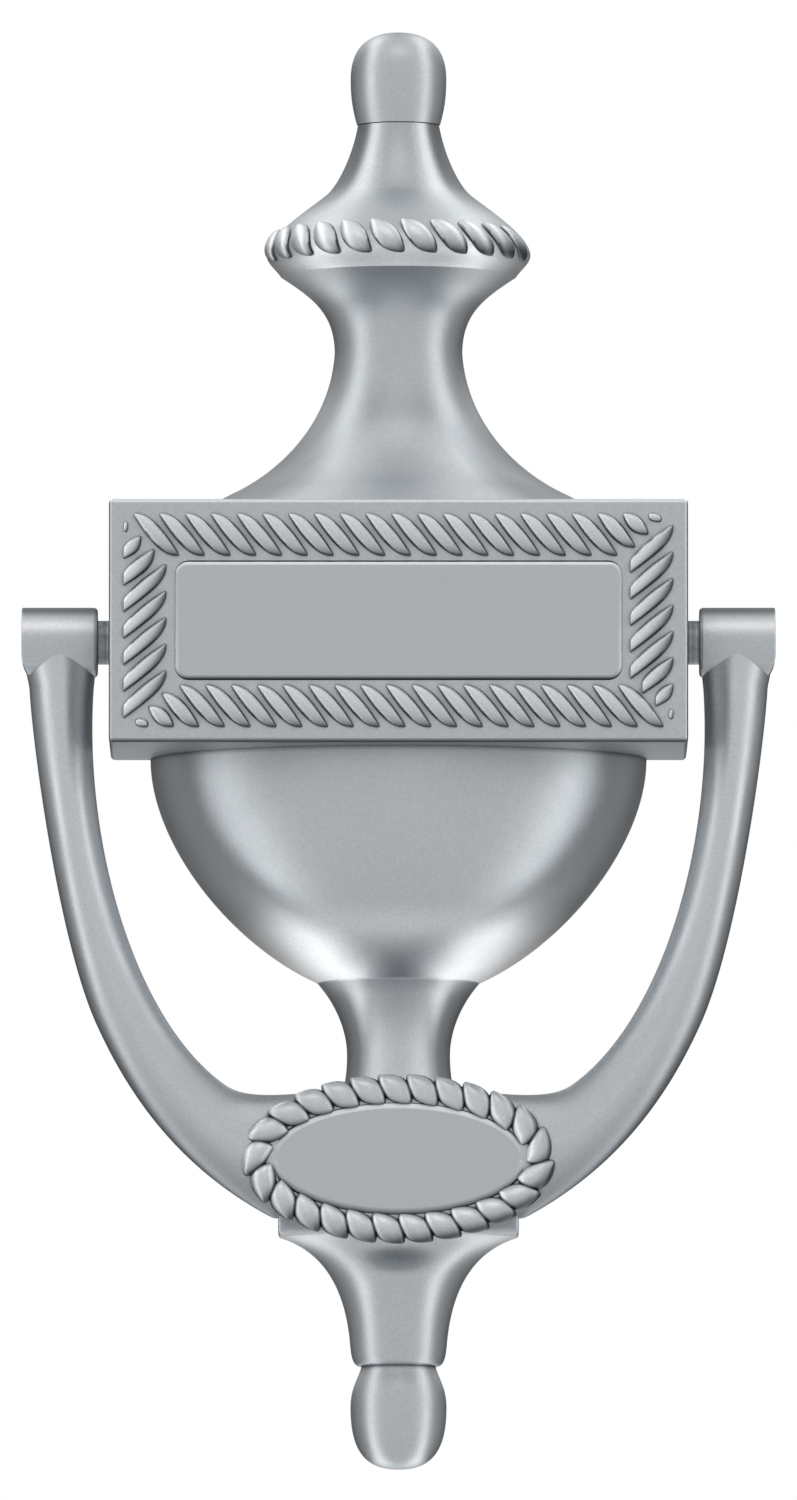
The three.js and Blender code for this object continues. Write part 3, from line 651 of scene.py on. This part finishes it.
def frameRope():
    # Rows lean one way and columns the other. The lower row is the upper one turned half round, and
    # the left column the right one. A strand is cut short where it would meet the other band's first
    # strand, whose line lies at 45 degrees.
    half = rope["bandWidth"] / 2
    centreX = blockHalf - rope["margin"] - half
    centreZ = (urn["blockTop"] - urn["blockBottom"]) / 2 - rope["margin"] - half
    rowStart = -centreX + rope["rowStart"]
    columnStart = centreZ - rope["columnStart"]
    made = []

    def addStrand(cut, squareEnd, toPlane):
        for turn in (1, -1):
            def place(across, u, h, turn=turn):
                x, z = toPlane(across, u)
                return np.stack([turn * x, -blockFront - h, turn * z + blockMiddle], -1)
            sheet = strandSheet(half, half, rope["halfStrand"], rope["relief"], cut, (squareEnd, 1)[::turn])
            made.append(strandPart(sheet, place, turn))

    for k in range(int(2 * centreX / rope["rowPitch"]) + 3):
        x = rowStart + k * rope["rowPitch"]
        cutHigh = min(1, (centreX - columnStart - rope["clear"] - x + centreZ) / (2 * half))
        if cutHigh > -0.8:
            addStrand((-1, cutHigh), 1, lambda across, u, x=x: (x + u, centreZ - across))
    for k in range(int(2 * centreZ / rope["columnPitch"]) + 4):
        z = columnStart - k * rope["columnPitch"]
        cutLow = max(-1, (-rowStart - centreZ + rope["clear"] - centreX - z) / (2 * half))
        if cutLow < 0.85:
            addStrand((cutLow, 1), rope["squareEnd"], lambda across, u, z=z: (centreX + across, z + u))
    return made


def makeRope(name, strands, body):
    # painted light from the upper left: strand surfaces facing up and left are painted lighter, those facing
    # down and right darker
    makePiece(name, strands, satinCasting, body, sharp=60, paintedLightFacing=(-0.7, 0, 0.7))


makeRope("blockRope", frameRope(), "backplate")


collar = {
    "halfAcross": 2.55,
    "rise": 1.15,  # the rope's middle above the flange's widest line
    "pitchDegrees": 14.5,
    "startDegrees": -5.5,
    "strands": (-5, 6),
    "halfStrand": 1.9,
    "relief": 0.8,
}


def collarRope():
    # strands on the flange: angle round the urn and distance up the flange's own outline, lifted along
    # the outline's normal
    line = upperOutline()
    line = line[(line[:, 1] > flangeZ - 2.9) & (line[:, 1] < flangeZ + 7)]
    run = lengthAlong(line)
    tangent = np.gradient(line, run, axis=0)
    half = collar["halfAcross"]
    middle = np.interp(flangeZ + collar["rise"], line[:, 1], run)
    made = []
    for k in range(*collar["strands"]):
        angle = k * collar["pitchDegrees"] + collar["startDegrees"]
        wearAndPaintedLight = 1 - 0.55 * ease(angle, 45, 80)
        sheet = strandSheet(half, half * 0.85, collar["halfStrand"], collar["relief"] * wearAndPaintedLight)

        def place(across, u, h):
            s = middle - across
            r = np.interp(s, run, line[:, 0])
            z = np.interp(s, run, line[:, 1])
            outX = np.interp(s, run, tangent[:, 1])
            outZ = -np.interp(s, run, tangent[:, 0])
            around = math.radians(angle) + u / urn["flangeRadius"]
            radius = r + h * outX
            y = np.minimum(-radius * np.cos(around), 0)
            return np.stack([radius * np.sin(around), y, z + h * outZ], -1)

        made.append(strandPart(sheet, place))
    return made


makeRope("collarRope", collarRope(), "backplate")
print("rope done")


def platePart(ringAt, profile, middle, bevel=(2, 5)):
    # rings of an outline inset and set back by the profile, closed at the middle of both faces; the rings in
    # the bevel's range get painted light, a painted highlight where they face up and painted shade where they
    # face down, lifted on the lower half
    rings = [ringAt(inset, y) for inset, y in profile]
    start = rings[0] * 0 + np.array(middle) + np.array([0, profile[0][1], 0])
    finish = rings[-1] * 0 + np.array(middle) + np.array([0, profile[-1][1], 0])
    share = np.zeros((len(rings) + 2, len(start)))
    share[bevel[0] + 1:bevel[1] + 1] = 3
    points = np.stack([start] + rings + [finish])
    crest = 0.2 * share * (points[..., 2] < middle[2])
    return *gridPart(points, wrapCols=True), share.ravel(), crest.ravel()


def chamferProfile(front, back, chamfer, drop):
    # the face, a low chamfer with softened corners, then the side down to the back
    soft = chamfer * 0.12
    return [(chamfer + 0.7, front), (chamfer + soft, front), (chamfer - soft, front + drop * 0.12),
            (soft, front + drop * 0.9), (0, front + drop * 1.15), (0, back)]


namePlate = {"corner": 1.7, "chamfer": 0.42, "drop": 0.17}
ovalPlate = {"chamfer": 0.78, "drop": 0.3}


def roundedRing(halfX, halfZ, corner, middleZ):
    def ringAt(inset, y):
        radius = max(corner - inset, 0.05)
        points = []
        for quarter, (sx, sz) in enumerate([(1, 1), (-1, 1), (-1, -1), (1, -1)]):
            fan = np.linspace(0, pi / 2, 12) + quarter * pi / 2
            x = sx * (halfX - inset - radius) + radius * np.cos(fan)
            z = sz * (halfZ - inset - radius) + radius * np.sin(fan)
            points.append(np.stack([x, np.full(len(fan), y), z + middleZ], -1))
        return np.concatenate(points)
    return ringAt


def ovalRing(halfX, halfZ, middleZ, columns=160):
    around = np.linspace(0, 2 * pi, columns, endpoint=False)

    def ringAt(inset, y):
        return np.stack([(halfX - inset) * np.cos(around), np.full(columns, y),
                         middleZ + (halfZ - inset) * np.sin(around)], -1)
    return ringAt


plateMiddle = (plateLow + plateHigh) / 2
plateHalf = (plateHigh - plateLow) / 2
ovalMiddle = (ovalLow + ovalHigh) / 2
ovalHalf = (ovalHigh - ovalLow) / 2
makePiece("namePlate", [platePart(
    roundedRing(plateHalf[0], plateHalf[2], namePlate["corner"], plateMiddle[2]),
    chamferProfile(plateLow[1], plateHigh[1], namePlate["chamfer"], namePlate["drop"]),
    (0, 0, plateMiddle[2]))],
    satinPlate, "backplate", ["name_plate"], sharp=14)
makePiece("medallionPlate", [platePart(
    ovalRing(ovalHalf[0], ovalHalf[2], ovalMiddle[2]),
    chamferProfile(ovalLow[1], ovalHigh[1], ovalPlate["chamfer"], ovalPlate["drop"]),
    (0, 0, ovalMiddle[2]))],
    satinPlate, "knocker", ["medallion_plate"], sharp=14)


knocker = {
    "knuckleRadius": 4.7,
    "knuckleLength": 10.2,
    "knuckleEdge": 0.55,
    "ridge": 1.14,  # above 1 the arm's section runs to a soft ridge, as 2 would make it a diamond
    "armHalfDepth": 4.3,
    "armLowHalfDepth": 3.5,
    # painted highlights on the arm's front and on its upper inner side
    "armFrontHighlight": 0.35,
    "armInnerHighlight": 0.8,
    "discHalfX": 20.1,
    "discHalfZ": 10.3,
    "discEdge": 1.1,
    "ropeHalfX": 19.0,  # centre line of the medallion's rope
    "ropeHalfZ": 9.35,
    "ropeHalfAcross": 2.05,
    "ropeCount": 25,
    "ropeRelief": 1.35,
    "ropeHalfStrand": 2.12,
    "buttonHead": 2.1,  # thickness of the strike button's head, behind the disc
    "buttonGap": 0.3,  # between that head and the disc
}
knuckleOuter = bailHigh[0]
knuckleInner = knuckleOuter - knocker["knuckleLength"]
bailDrop = -ovalMiddle[2]
discFront = ovalLow[1] + 0.4  # the oval plate stands 0.4 proud
discBack = buttonHigh[1] - knocker["buttonHead"] - knocker["buttonGap"]


def armEdges(count):
    # the arm's outer and inner edges from the knuckle down, as (x, z), with matching steps
    d = bailDrop
    outer = outline(
        (knuckleOuter - 0.1, 0),
        ((knuckleOuter - 0.2, -d * 0.02), (knuckleOuter - 0.4, -d * 0.05),
         (knuckleOuter - 1.0, -d * 0.085), 40),
        ((knuckleOuter - 1.3, -d * 0.185), (knuckleOuter - 4.9, -d * 0.575),
         (knuckleOuter - 10.07, -d * 0.738), 200),
        ((knuckleOuter - 14.4, -d * 0.8755), (knuckleOuter - 21.1, -d * 1.015),
         (knuckleOuter - 33.5, -d * 1.11), 160),
        ((knuckleOuter - 34.6, -d * 1.117), (knuckleOuter - 35.4, -d * 1.112),
         (knuckleOuter - 37.5, -d * 1.07), 20),
    )
    inner = outline(
        (knuckleInner + 0.15, 0),
        ((knuckleInner + 0.2, -d * 0.03), (knuckleInner + 0.3, -d * 0.06),
         (knuckleInner + 0.54, -d * 0.0875), 40),
        ((knuckleInner + 1.95, -d * 0.387), (knuckleInner - 5.03, -d * 0.732),
         (knuckleInner - 17.1, -d * 0.8545), 220),
        ((knuckleInner - 18.9, -d * 0.872), (knuckleInner - 21.3, -d * 0.879),
         (knuckleInner - 28, -d * 0.87), 60),
    )

    def evenly(line, count):
        run = lengthAlong(line)
        at = np.linspace(0, run[-1], count)
        return np.stack([np.interp(at, run, line[:, 0]), np.interp(at, run, line[:, 1])], -1)

    return evenly(outer, count), evenly(inner, count)


def armPart():
    # Section carried down the arm: from the middle of the two edges, across by half their distance
    # times cos(a) and in depth by the half depth times sin(a). The arm thins and eases forward to the
    # medallion's depth. Its closed top end lies inside the knuckle and fills the lower half of the
    # pin's bore there.
    outer, inner = armEdges(150)
    middle, across = (outer + inner) / 2, (outer - inner) / 2
    share = ease(-middle[:, 1], bailDrop * 0.2, bailDrop * 0.95)
    halfDepth = knocker["armHalfDepth"] + (knocker["armLowHalfDepth"] - knocker["armHalfDepth"]) * share
    lowDepth = (discFront + discBack) / 2 + 0.2
    depth = pivot[1] + (lowDepth - pivot[1]) * share
    around = np.linspace(0, 2 * pi, 56, endpoint=False)[None, :]
    wide, deep = np.cos(around), np.sin(around)
    wide = np.sign(wide) * np.abs(wide) ** knocker["ridge"]
    deep = np.sign(deep) * np.abs(deep) ** knocker["ridge"]
    x = middle[:, :1] + across[:, :1] * wide
    z = middle[:, 1:] + across[:, 1:] * wide
    y = depth[:, None] + halfDepth[:, None] * deep
    ring = np.stack([x, y, z], -1)
    ends = [np.broadcast_to(ring[k].mean(0), ring[k].shape)[None] for k in (0, -1)]
    # painted highlight along the front and the upper inner side, painted shade along the outer side and the
    # lower inner side
    front = np.maximum(-np.sin(around), 0)
    low = share[:, None]
    inner = np.maximum(-np.cos(around), 0) * (knocker["armInnerHighlight"] * (1 - low) ** 2 - 0.4 * low)
    outer = np.maximum(np.cos(around), 0) * (0.25 + 0.5 * low)
    armPaintedLight = knocker["armFrontHighlight"] * front * (1 - 0.3 * low) + inner - outer
    armPaintedLight = np.concatenate([armPaintedLight[:1], armPaintedLight, armPaintedLight[-1:]]).ravel()
    part = gridPart(np.concatenate([ends[0], ring, ends[1]]), wrapCols=True)
    return *part, 0 * armPaintedLight, armPaintedLight


def knucklePart():
    # barrel on the pivot axis with a blind bore for its pin; the outer end's lower corner is eased
    # into the arm
    k = knocker
    bore = (pinHigh[2] - pinLow[2]) / 2 + 0.25
    edge = k["knuckleEdge"]
    corner = np.linspace(0, pi / 2, 6)
    rise = [(k["knuckleRadius"] - edge + edge * math.sin(a), knuckleInner + edge - edge * math.cos(a))
            for a in corner]
    fall = [(k["knuckleRadius"] - edge * 0.4 + edge * 0.4 * math.cos(a),
             knuckleOuter - edge * 0.4 + edge * 0.4 * math.sin(a)) for a in corner]
    line = np.array([(0.01, pinHigh[0] + 0.3), (bore, pinHigh[0] + 0.3), (bore, knuckleInner + 0.25),
                     (bore + 0.25, knuckleInner)] + rise + fall
                    + [(k["knuckleRadius"] * 0.5, knuckleOuter), (0.01, knuckleOuter)])
    points, faces = turnedOn("x", line, (0, pivot[1], 0), 96)
    low = np.clip((-1.9 - points[:, 2]) / 2.8, 0, 1.05)
    limit = knuckleOuter - 1.1 * low ** 2
    points[:, 0] = np.minimum(points[:, 0], limit)
    # painted highlight a third of the way up, painted shade along the top
    height = points[:, 2] / k["knuckleRadius"]
    wearAndPaintedLight = 0.9 * np.exp(-((height - 0.38) / 0.2) ** 2) - 0.8 * ease(height, 0.6, 0.9)
    return points, faces, 0 * wearAndPaintedLight, wearAndPaintedLight


def discPart():
    # oval disc: a ground for the rope with a shallow seat for the plate, rounded over its outer edge
    k = knocker
    edge = k["discEdge"]
    seatX = ovalHalf[0] + 0.2
    around = np.linspace(0, 2 * pi, 160, endpoint=False)
    inset = k["discHalfX"] - seatX
    steps = [(inset, ovalHigh[1]), (inset, discFront + 0.12), (inset - 0.12, discFront)]
    steps += [(edge - edge * math.sin(a), discFront + edge - edge * math.cos(a))
              for a in np.linspace(0, pi / 2, 9)]
    steps += [(0.5 - 0.5 * math.cos(a), discBack - 0.5 + 0.5 * math.sin(a))
              for a in np.linspace(0, pi / 2, 5)]
    ringAt = ovalRing(k["discHalfX"], k["discHalfZ"], -bailDrop)
    return platePart(ringAt, steps, (0, 0, -bailDrop), (0, 0))


def medallionRope():
    # strands round an oval track, lifted towards the front and bowed back at the rope's two edges, so
    # that the rope has a round body
    k = knocker
    track = np.linspace(0, 2 * pi, 721)
    line = np.stack([k["ropeHalfX"] * np.cos(track), k["ropeHalfZ"] * np.sin(track)], -1)
    run = lengthAlong(line)
    length = run[-1]
    made = []
    for n in range(k["ropeCount"]):
        start = (n + 0.35) / k["ropeCount"] * length
        half = k["ropeHalfAcross"]
        sheet = strandSheet(half, half * 0.85, k["ropeHalfStrand"], k["ropeRelief"])

        def place(across, u, h):
            s = np.mod(start + u, length)
            angle = np.interp(s, run, track)
            normal = np.stack([k["ropeHalfZ"] * np.cos(angle), k["ropeHalfX"] * np.sin(angle)], -1)
            normal /= np.linalg.norm(normal, axis=-1, keepdims=True)
            x = k["ropeHalfX"] * np.cos(angle) + normal[..., 0] * across
            z = k["ropeHalfZ"] * np.sin(angle) + normal[..., 1] * across - bailDrop
            bow = 0.55 * (across / k["ropeHalfAcross"]) ** 2
            return np.stack([x, discFront + bow - h, z], -1)

        made.append(strandPart(sheet, place))
    return made


arm, knuckle = armPart(), knucklePart()
makePiece("knockerBail", [arm, knuckle, movedPart(arm, mirroredX), movedPart(knuckle, mirroredX), discPart()],
          satinCasting, "knocker", ["knocker_bail"])
makeRope("medallionRope", medallionRope(), "knocker")
print("knocker done")


hardware = {
    "edge": 0.35,  # rounding of turned corners
    "pinThread": 0.7,  # pitch on the pins
    "boltThread": 0.8,
    "threadDepth": 0.38,
    "threadedLength": 30,  # of a door bolt, from its tip
    "slotHalf": 0.6,
    "slotDepth": 1.1,
    "domeHeight": 1.1,
    "coneStart": 1,  # the bolt head's cone starts this far above the door's inner face
    "washerHole": 2.7,  # radius round the bolt
    "washerMouth": 5.0,  # radius at the top of the cone that takes the bolt's head
    "spigotRadius": 2.5,
}


def threaded(pitch, start, end):
    # radius less a triangular groove that winds once round in a pitch: depth * |2 frac(along / pitch -
    # turn) - 1|, between start and end
    def shape(r, along, around):
        turn = np.mod(along / pitch - around / (2 * pi), 1)
        inside = (along > start) & (along < end)
        return r - hardware["threadDepth"] * np.abs(2 * turn - 1) * inside
    return shape


def roundedEnds(radius, start, end, edge, step=None):
    # straight turned side with rounded corners at both ends, with a row of points at each step
    turn = np.linspace(0, pi / 2, 5)
    rise = [(radius - edge + edge * math.sin(a), start + edge - edge * math.cos(a)) for a in turn]
    fall = [(radius - edge + edge * math.cos(a), end - edge + edge * math.sin(a)) for a in turn]
    inner = np.arange(start + edge, end - edge, step)[1:] if step else []
    return rise + [(radius, at) for at in inner] + fall


def slottedCap(radius, base, top, dome, axis, centre):
    # Round cap with a screwdriver slot, sliced across the slot: each slice is a closed loop from the
    # base to the top, whose height falls by dome * (distance from the axis / radius)^2. It looks
    # along the axis in the direction from base to top.
    h = hardware
    half = radius * np.sin(np.linspace(0, pi / 2, 14)[:-1])
    beside = half[half > h["slotHalf"] + 0.1]
    rows = np.concatenate([-beside[::-1], [-h["slotHalf"]] * 2, [h["slotHalf"]] * 2, beside])
    rows = np.concatenate([[-radius], rows, [radius]])[:, None]
    chord = np.sqrt(np.maximum(radius ** 2 - rows ** 2, 0)) * np.sin(np.linspace(-1, 1, 15) * pi / 2)[None, :]
    height = top - np.sign(top - base) * dome * (rows ** 2 + chord ** 2) / radius ** 2
    slot = len(beside) + 2
    height[slot:slot + 2] = top - np.sign(top - base) * h["slotDepth"]
    along = np.concatenate([height, np.full(chord.shape, base)], 1)
    chord = np.concatenate([chord, chord[:, ::-1]], 1)
    across = rows + 0 * chord
    order = {"x": [along, chord, across], "y": [chord, along, across]}[axis]
    return gridPart(np.stack(order, -1) + np.array(centre), wrapCols=True)


def makePins():
    # threaded tail inside the block, smooth journal in the knuckle, rounded corners, slotted tail end
    h = hardware
    radius = (pinHigh[2] - pinLow[2]) / 2
    threadEnd = blockHalf - 0.9
    tail = pinLow[0] + h["slotDepth"]
    side = roundedEnds(radius, tail, pinHigh[0], h["edge"], 0.12)
    line = np.array([(0.01, tail)] + side + [(0.01, pinHigh[0])])
    axle = turnedOn("x", line, (0, pivot[1], 0), 40, threaded(h["pinThread"], tail + 0.3, threadEnd))
    cap = slottedCap(radius - h["threadDepth"], tail, pinLow[0], 0.1, "x", (0, pivot[1], 0))
    steel = turnedSteel("turned_pin_steel", (0, pivot[1], 0), (1, 0, 0), pinLook)
    makePiece("pivotPinRight", [axle, cap], steel, "backplate", ["pivot_pin_right"])
    makePiece("pivotPinLeft", [movedPart(axle, mirroredX), movedPart(cap, mirroredX)], steel, "backplate",
              ["pivot_pin_left"])


def makeNuts():
    # hexagon whose radius is flat / cos(angle from the nearest flat's middle), cut by a cone at both
    # faces, with a plain bore
    flat = (nutHigh[1] - nutLow[1]) / 2
    bore = (pinHigh[2] - pinLow[2]) / 2 + 0.1
    start, end = nutLow[0], nutHigh[0]
    tall = flat / math.cos(pi / 6)
    line = np.array([(bore, start), (bore + 0.3, start), (flat * 0.97, start), (tall, start + 0.45),
                     (tall, end - 0.45), (flat * 0.97, end), (bore, end), (bore, start)])

    def hexagon(r, along, around):
        return np.minimum(r, flat / np.cos(np.mod(around + pi / 6, pi / 3) - pi / 6))

    nut = turnedOn("x", line, (0, pivot[1], 0), 72, hexagon)
    zinc = turnedSteel("zinc_plated_nut", (0, pivot[1], 0), (1, 0, 0), zincLook)
    makePiece("lockNutRight", [nut], zinc, "backplate", ["lock_nut_right"], sharp=25)
    makePiece("lockNutLeft", [movedPart(nut, mirroredX)], zinc, "backplate", ["lock_nut_left"],
              sharp=25)


def makeBolt(place, low, high):
    # threaded shank, countersunk cone and slotted oval head
    h = hardware
    z = (low[2] + high[2]) / 2
    headRadius = (high[0] - low[0]) / 2
    shank = washerLow[1] + h["coneStart"]
    shankRadius = headRadius - (high[1] - h["domeHeight"] - shank)
    line = np.array([(0.01, low[1])] + roundedEnds(shankRadius, low[1], shank, h["edge"], 0.14)[:-4]
                    + [(shankRadius, shank), (headRadius - 0.15, high[1] - h["domeHeight"] - 0.15),
                       (headRadius, high[1] - h["domeHeight"]), (0.01, high[1] - h["domeHeight"])])
    end = low[1] + h["threadedLength"]
    shaft = turnedOn("y", line, (0, 0, z), 40, threaded(h["boltThread"], low[1] + 0.4, end))
    head = slottedCap(headRadius, high[1] - h["domeHeight"], high[1], h["domeHeight"], "y", (0, 0, z))
    zinc = turnedSteel("zinc_plated_bolt_" + place, (0, 0, z), (0, 1, 0), zincLook)
    makePiece("mountingBolt_" + place, [shaft, head], zinc, "backplate",
              ["mounting_bolt_" + place])


def makeWasher(place, low, high):
    # pressed cup: flat foot, rising outer skirt, rolled rim and a cone that takes the bolt head
    outer = (high[0] - low[0]) / 2
    hole, mouth = hardware["washerHole"], hardware["washerMouth"]
    z = (low[2] + high[2]) / 2
    line = outline((hole, low[1]), ((outer - 0.15, low[1]),),
                   ((outer, low[1]), (outer, low[1] + 0.3), (outer - 0.25, low[1] + 0.7), 6),
                   ((outer - 0.8, low[1] + 1.8), (mouth + 1.2, high[1] - 0.2), (mouth + 0.55, high[1]), 12),
                   ((mouth + 0.3, high[1]), (mouth + 0.1, high[1]), (mouth, high[1] - 0.15), 5),
                   ((hole, high[1] - (mouth - hole)),), ((hole, low[1]),))
    makePiece("cupWasher_" + place, [turnedOn("y", line, (0, 0, z), 72)], satinCasting, "backplate",
              ["cup_washer_" + place], sharp=30)


def makeButton():
    # domed head that meets the ledge, on a spigot pressed into the medallion
    h = hardware
    radius = (buttonHigh[0] - buttonLow[0]) / 2
    z = (buttonLow[2] + buttonHigh[2]) / 2
    head = buttonHigh[1] - knocker["buttonHead"]
    turn = np.linspace(0, pi / 2, 7)
    line = np.array([(0.01, buttonLow[1]), (h["spigotRadius"] - 0.2, buttonLow[1]),
                     (h["spigotRadius"], buttonLow[1] + 0.2), (h["spigotRadius"], head), (radius - 0.2, head),
                     (radius, head + 0.2)]
                    + [(radius - 0.6 + 0.6 * math.cos(a), buttonHigh[1] - 0.65 + 0.6 * math.sin(a))
                       for a in turn]
                    + [(radius * 0.5, buttonHigh[1] - 0.01), (0.01, buttonHigh[1])])
    steel = turnedSteel("turned_button_steel", (0, 0, z), (0, 1, 0), pinLook)
    makePiece("strikeButton", [turnedOn("y", line, (0, 0, z), 96)], steel, "knocker",
              ["strike_button"], sharp=30)


makePins()
makeNuts()
makeBolt("upper", boltLow, boltHigh)
makeBolt("lower", lowerBoltLow, lowerBoltHigh)
makeWasher("upper", washerLow, washerHigh)
makeWasher("lower", *mmBox("cup_washer_lower"))
makeButton()
print("hardware done")


studio = {
    "frameHeightMm": 201.75,  # height of the view at the scale depth
    "frameMiddleMm": 13.181,  # from the pivot height down to the middle of the view
    "tiltDegrees": 4.9,  # the camera looks up from a little below
    "lens": 700,
    "scaleDepthMm": 5,  # in front of the door
    "floorZ": -0.42,  # in metres, clear below the knocker
    "radiance": 0.67,  # of the broad soft front
    "sideStrip": 2.6,  # the strips at the sides, in shares of the front
    "overhead": 1.6,
    "behind": 0.45,
}


def makeStudio():
    s = studio
    mesh = bpy.data.meshes.new("floor")
    size = 6
    mesh.from_pydata([(-size, -size, s["floorZ"]), (size, -size, s["floorZ"]), (size, size, s["floorZ"]),
                      (-size, size, s["floorZ"])], [], [(0, 1, 2, 3)])
    floor = bpy.data.objects.new("floor", mesh)
    bpy.context.scene.collection.objects.link(floor)
    paint = bpy.data.materials.new("pale_matt_floor")
    paint.use_nodes = True
    shader = paint.node_tree.nodes["Principled BSDF"]
    shader.inputs["Base Color"].default_value = hexColour("#E6E6E4")
    shader.inputs["Roughness"].default_value = 0.8
    mesh.materials.append(paint)
    floor.visible_glossy = False  # the metal mirrors the soft boxes below it, not the floor
    makeSoftBoxes()
    bpy.context.scene.view_settings.view_transform = "Standard"


def makeSoftBoxes():
    # Soft light from every side, as a function of direction (x, y, z): a broad even front, a strip
    # down each side where 0.817 |x| + 0.571 y is about half, dark flags beyond it and behind, one
    # overhead box in front, and two small lights high at the back.
    s = studio
    world = bpy.data.worlds.new("studio")
    world.use_nodes = True
    tree = world.node_tree
    tree.nodes.clear()
    direction = addNode(tree, "ShaderNodeTexCoord").outputs["Generated"]
    axes = addNode(tree, "ShaderNodeSeparateXYZ", [(direction, "Vector")])
    side = addNode(tree, "ShaderNodeMath", [(axes.outputs["X"], 0)], operation="ABSOLUTE")
    ahead = addNode(tree, "ShaderNodeMath", [(axes.outputs["Y"], 0)], operation="MULTIPLY", in_1=0.571)
    across = addNode(tree, "ShaderNodeMath", [(side.outputs[0], 0), (ahead.outputs[0], 2)],
                     operation="MULTIPLY_ADD", in_1=0.817)
    strips = addNode(tree, "ShaderNodeValToRGB", [(across.outputs[0], "Fac")],
                     [(0.42, 1 / s["sideStrip"]), (0.53, 1), (0.64, 1), (0.76, s["behind"] / s["sideStrip"])])
    below = addNode(tree, "ShaderNodeMath", [(axes.outputs["Z"], 0)], operation="MINIMUM", in_1=0)
    away = addNode(tree, "ShaderNodeMath", [(below.outputs[0], 0), (axes.outputs["Y"], 2)],
                   operation="MULTIPLY_ADD", in_1=0.35)
    behind = addNode(tree, "ShaderNodeValToRGB", [(away.outputs[0], "Fac")],
                     [(0.45, 1), (0.72, s["behind"]), (0.95, s["behind"] * 0.5)])
    both = addNode(tree, "ShaderNodeMath", [(strips.outputs["Color"], 0), (behind.outputs["Color"], 1)],
                   operation="MULTIPLY")
    light = addNode(tree, "ShaderNodeMath", [(both.outputs[0], 0)], operation="MULTIPLY", in_1=s["sideStrip"])
    spots = [((0, -0.545, 0.839), 0.93, 0.985, s["overhead"] - 1), ((0.43, 0.75, 0.5), 0.93, 0.97, 0.6),
             ((-0.43, 0.75, 0.5), 0.93, 0.97, 0.6)]
    for aim, edge, core, strength in spots:
        near = addNode(tree, "ShaderNodeVectorMath", [(direction, 0)], operation="DOT_PRODUCT", in_1=aim)
        spot = addNode(tree, "ShaderNodeMapRange", [(near.outputs["Value"], "Value")],
                       in_1=edge, in_2=core, in_3=0, in_4=strength)
        light = addNode(tree, "ShaderNodeMath", [(light.outputs[0], 0), (spot.outputs["Result"], 1)],
                        operation="ADD")
    scaled = addNode(tree, "ShaderNodeMath", [(light.outputs[0], 0)],
                     operation="MULTIPLY", in_1=s["radiance"])
    seen = addNode(tree, "ShaderNodeLightPath").outputs["Is Camera Ray"]
    plain = addNode(tree, "ShaderNodeBackground", in_Color=(1, 1, 1, 1), in_Strength=1.0)
    boxes = addNode(tree, "ShaderNodeBackground", [(scaled.outputs[0], "Strength")], in_Color=(1, 1, 1, 1))
    mix = addNode(tree, "ShaderNodeMixShader", [(seen, "Fac"), (boxes.outputs[0], 1), (plain.outputs[0], 2)])
    addNode(tree, "ShaderNodeOutputWorld", [(mix.outputs[0], "Surface")])
    bpy.context.scene.world = world


def makeCamera():
    s = studio
    data = bpy.data.cameras.new("camera")
    data.lens = s["lens"]
    data.sensor_width = 36
    frameHeight = s["frameHeightMm"] * mm
    distance = frameHeight / (data.sensor_width / data.lens) + s["scaleDepthMm"] * mm
    tilt = math.radians(s["tiltDegrees"])
    camera = bpy.data.objects.new("camera", data)
    bpy.context.scene.collection.objects.link(camera)
    middleZ = -s["frameMiddleMm"] * mm / math.cos(tilt)
    aim = np.array([0, 0, middleZ])
    camera.location = aim + distance * np.array([0, -math.cos(tilt), -math.sin(tilt)])
    camera.rotation_euler = (pi / 2 + tilt, 0, 0)
    data.clip_start, data.clip_end = 0.1, 20
    bpy.context.scene.camera = camera


makeStudio()
makeCamera()

print("studio done")
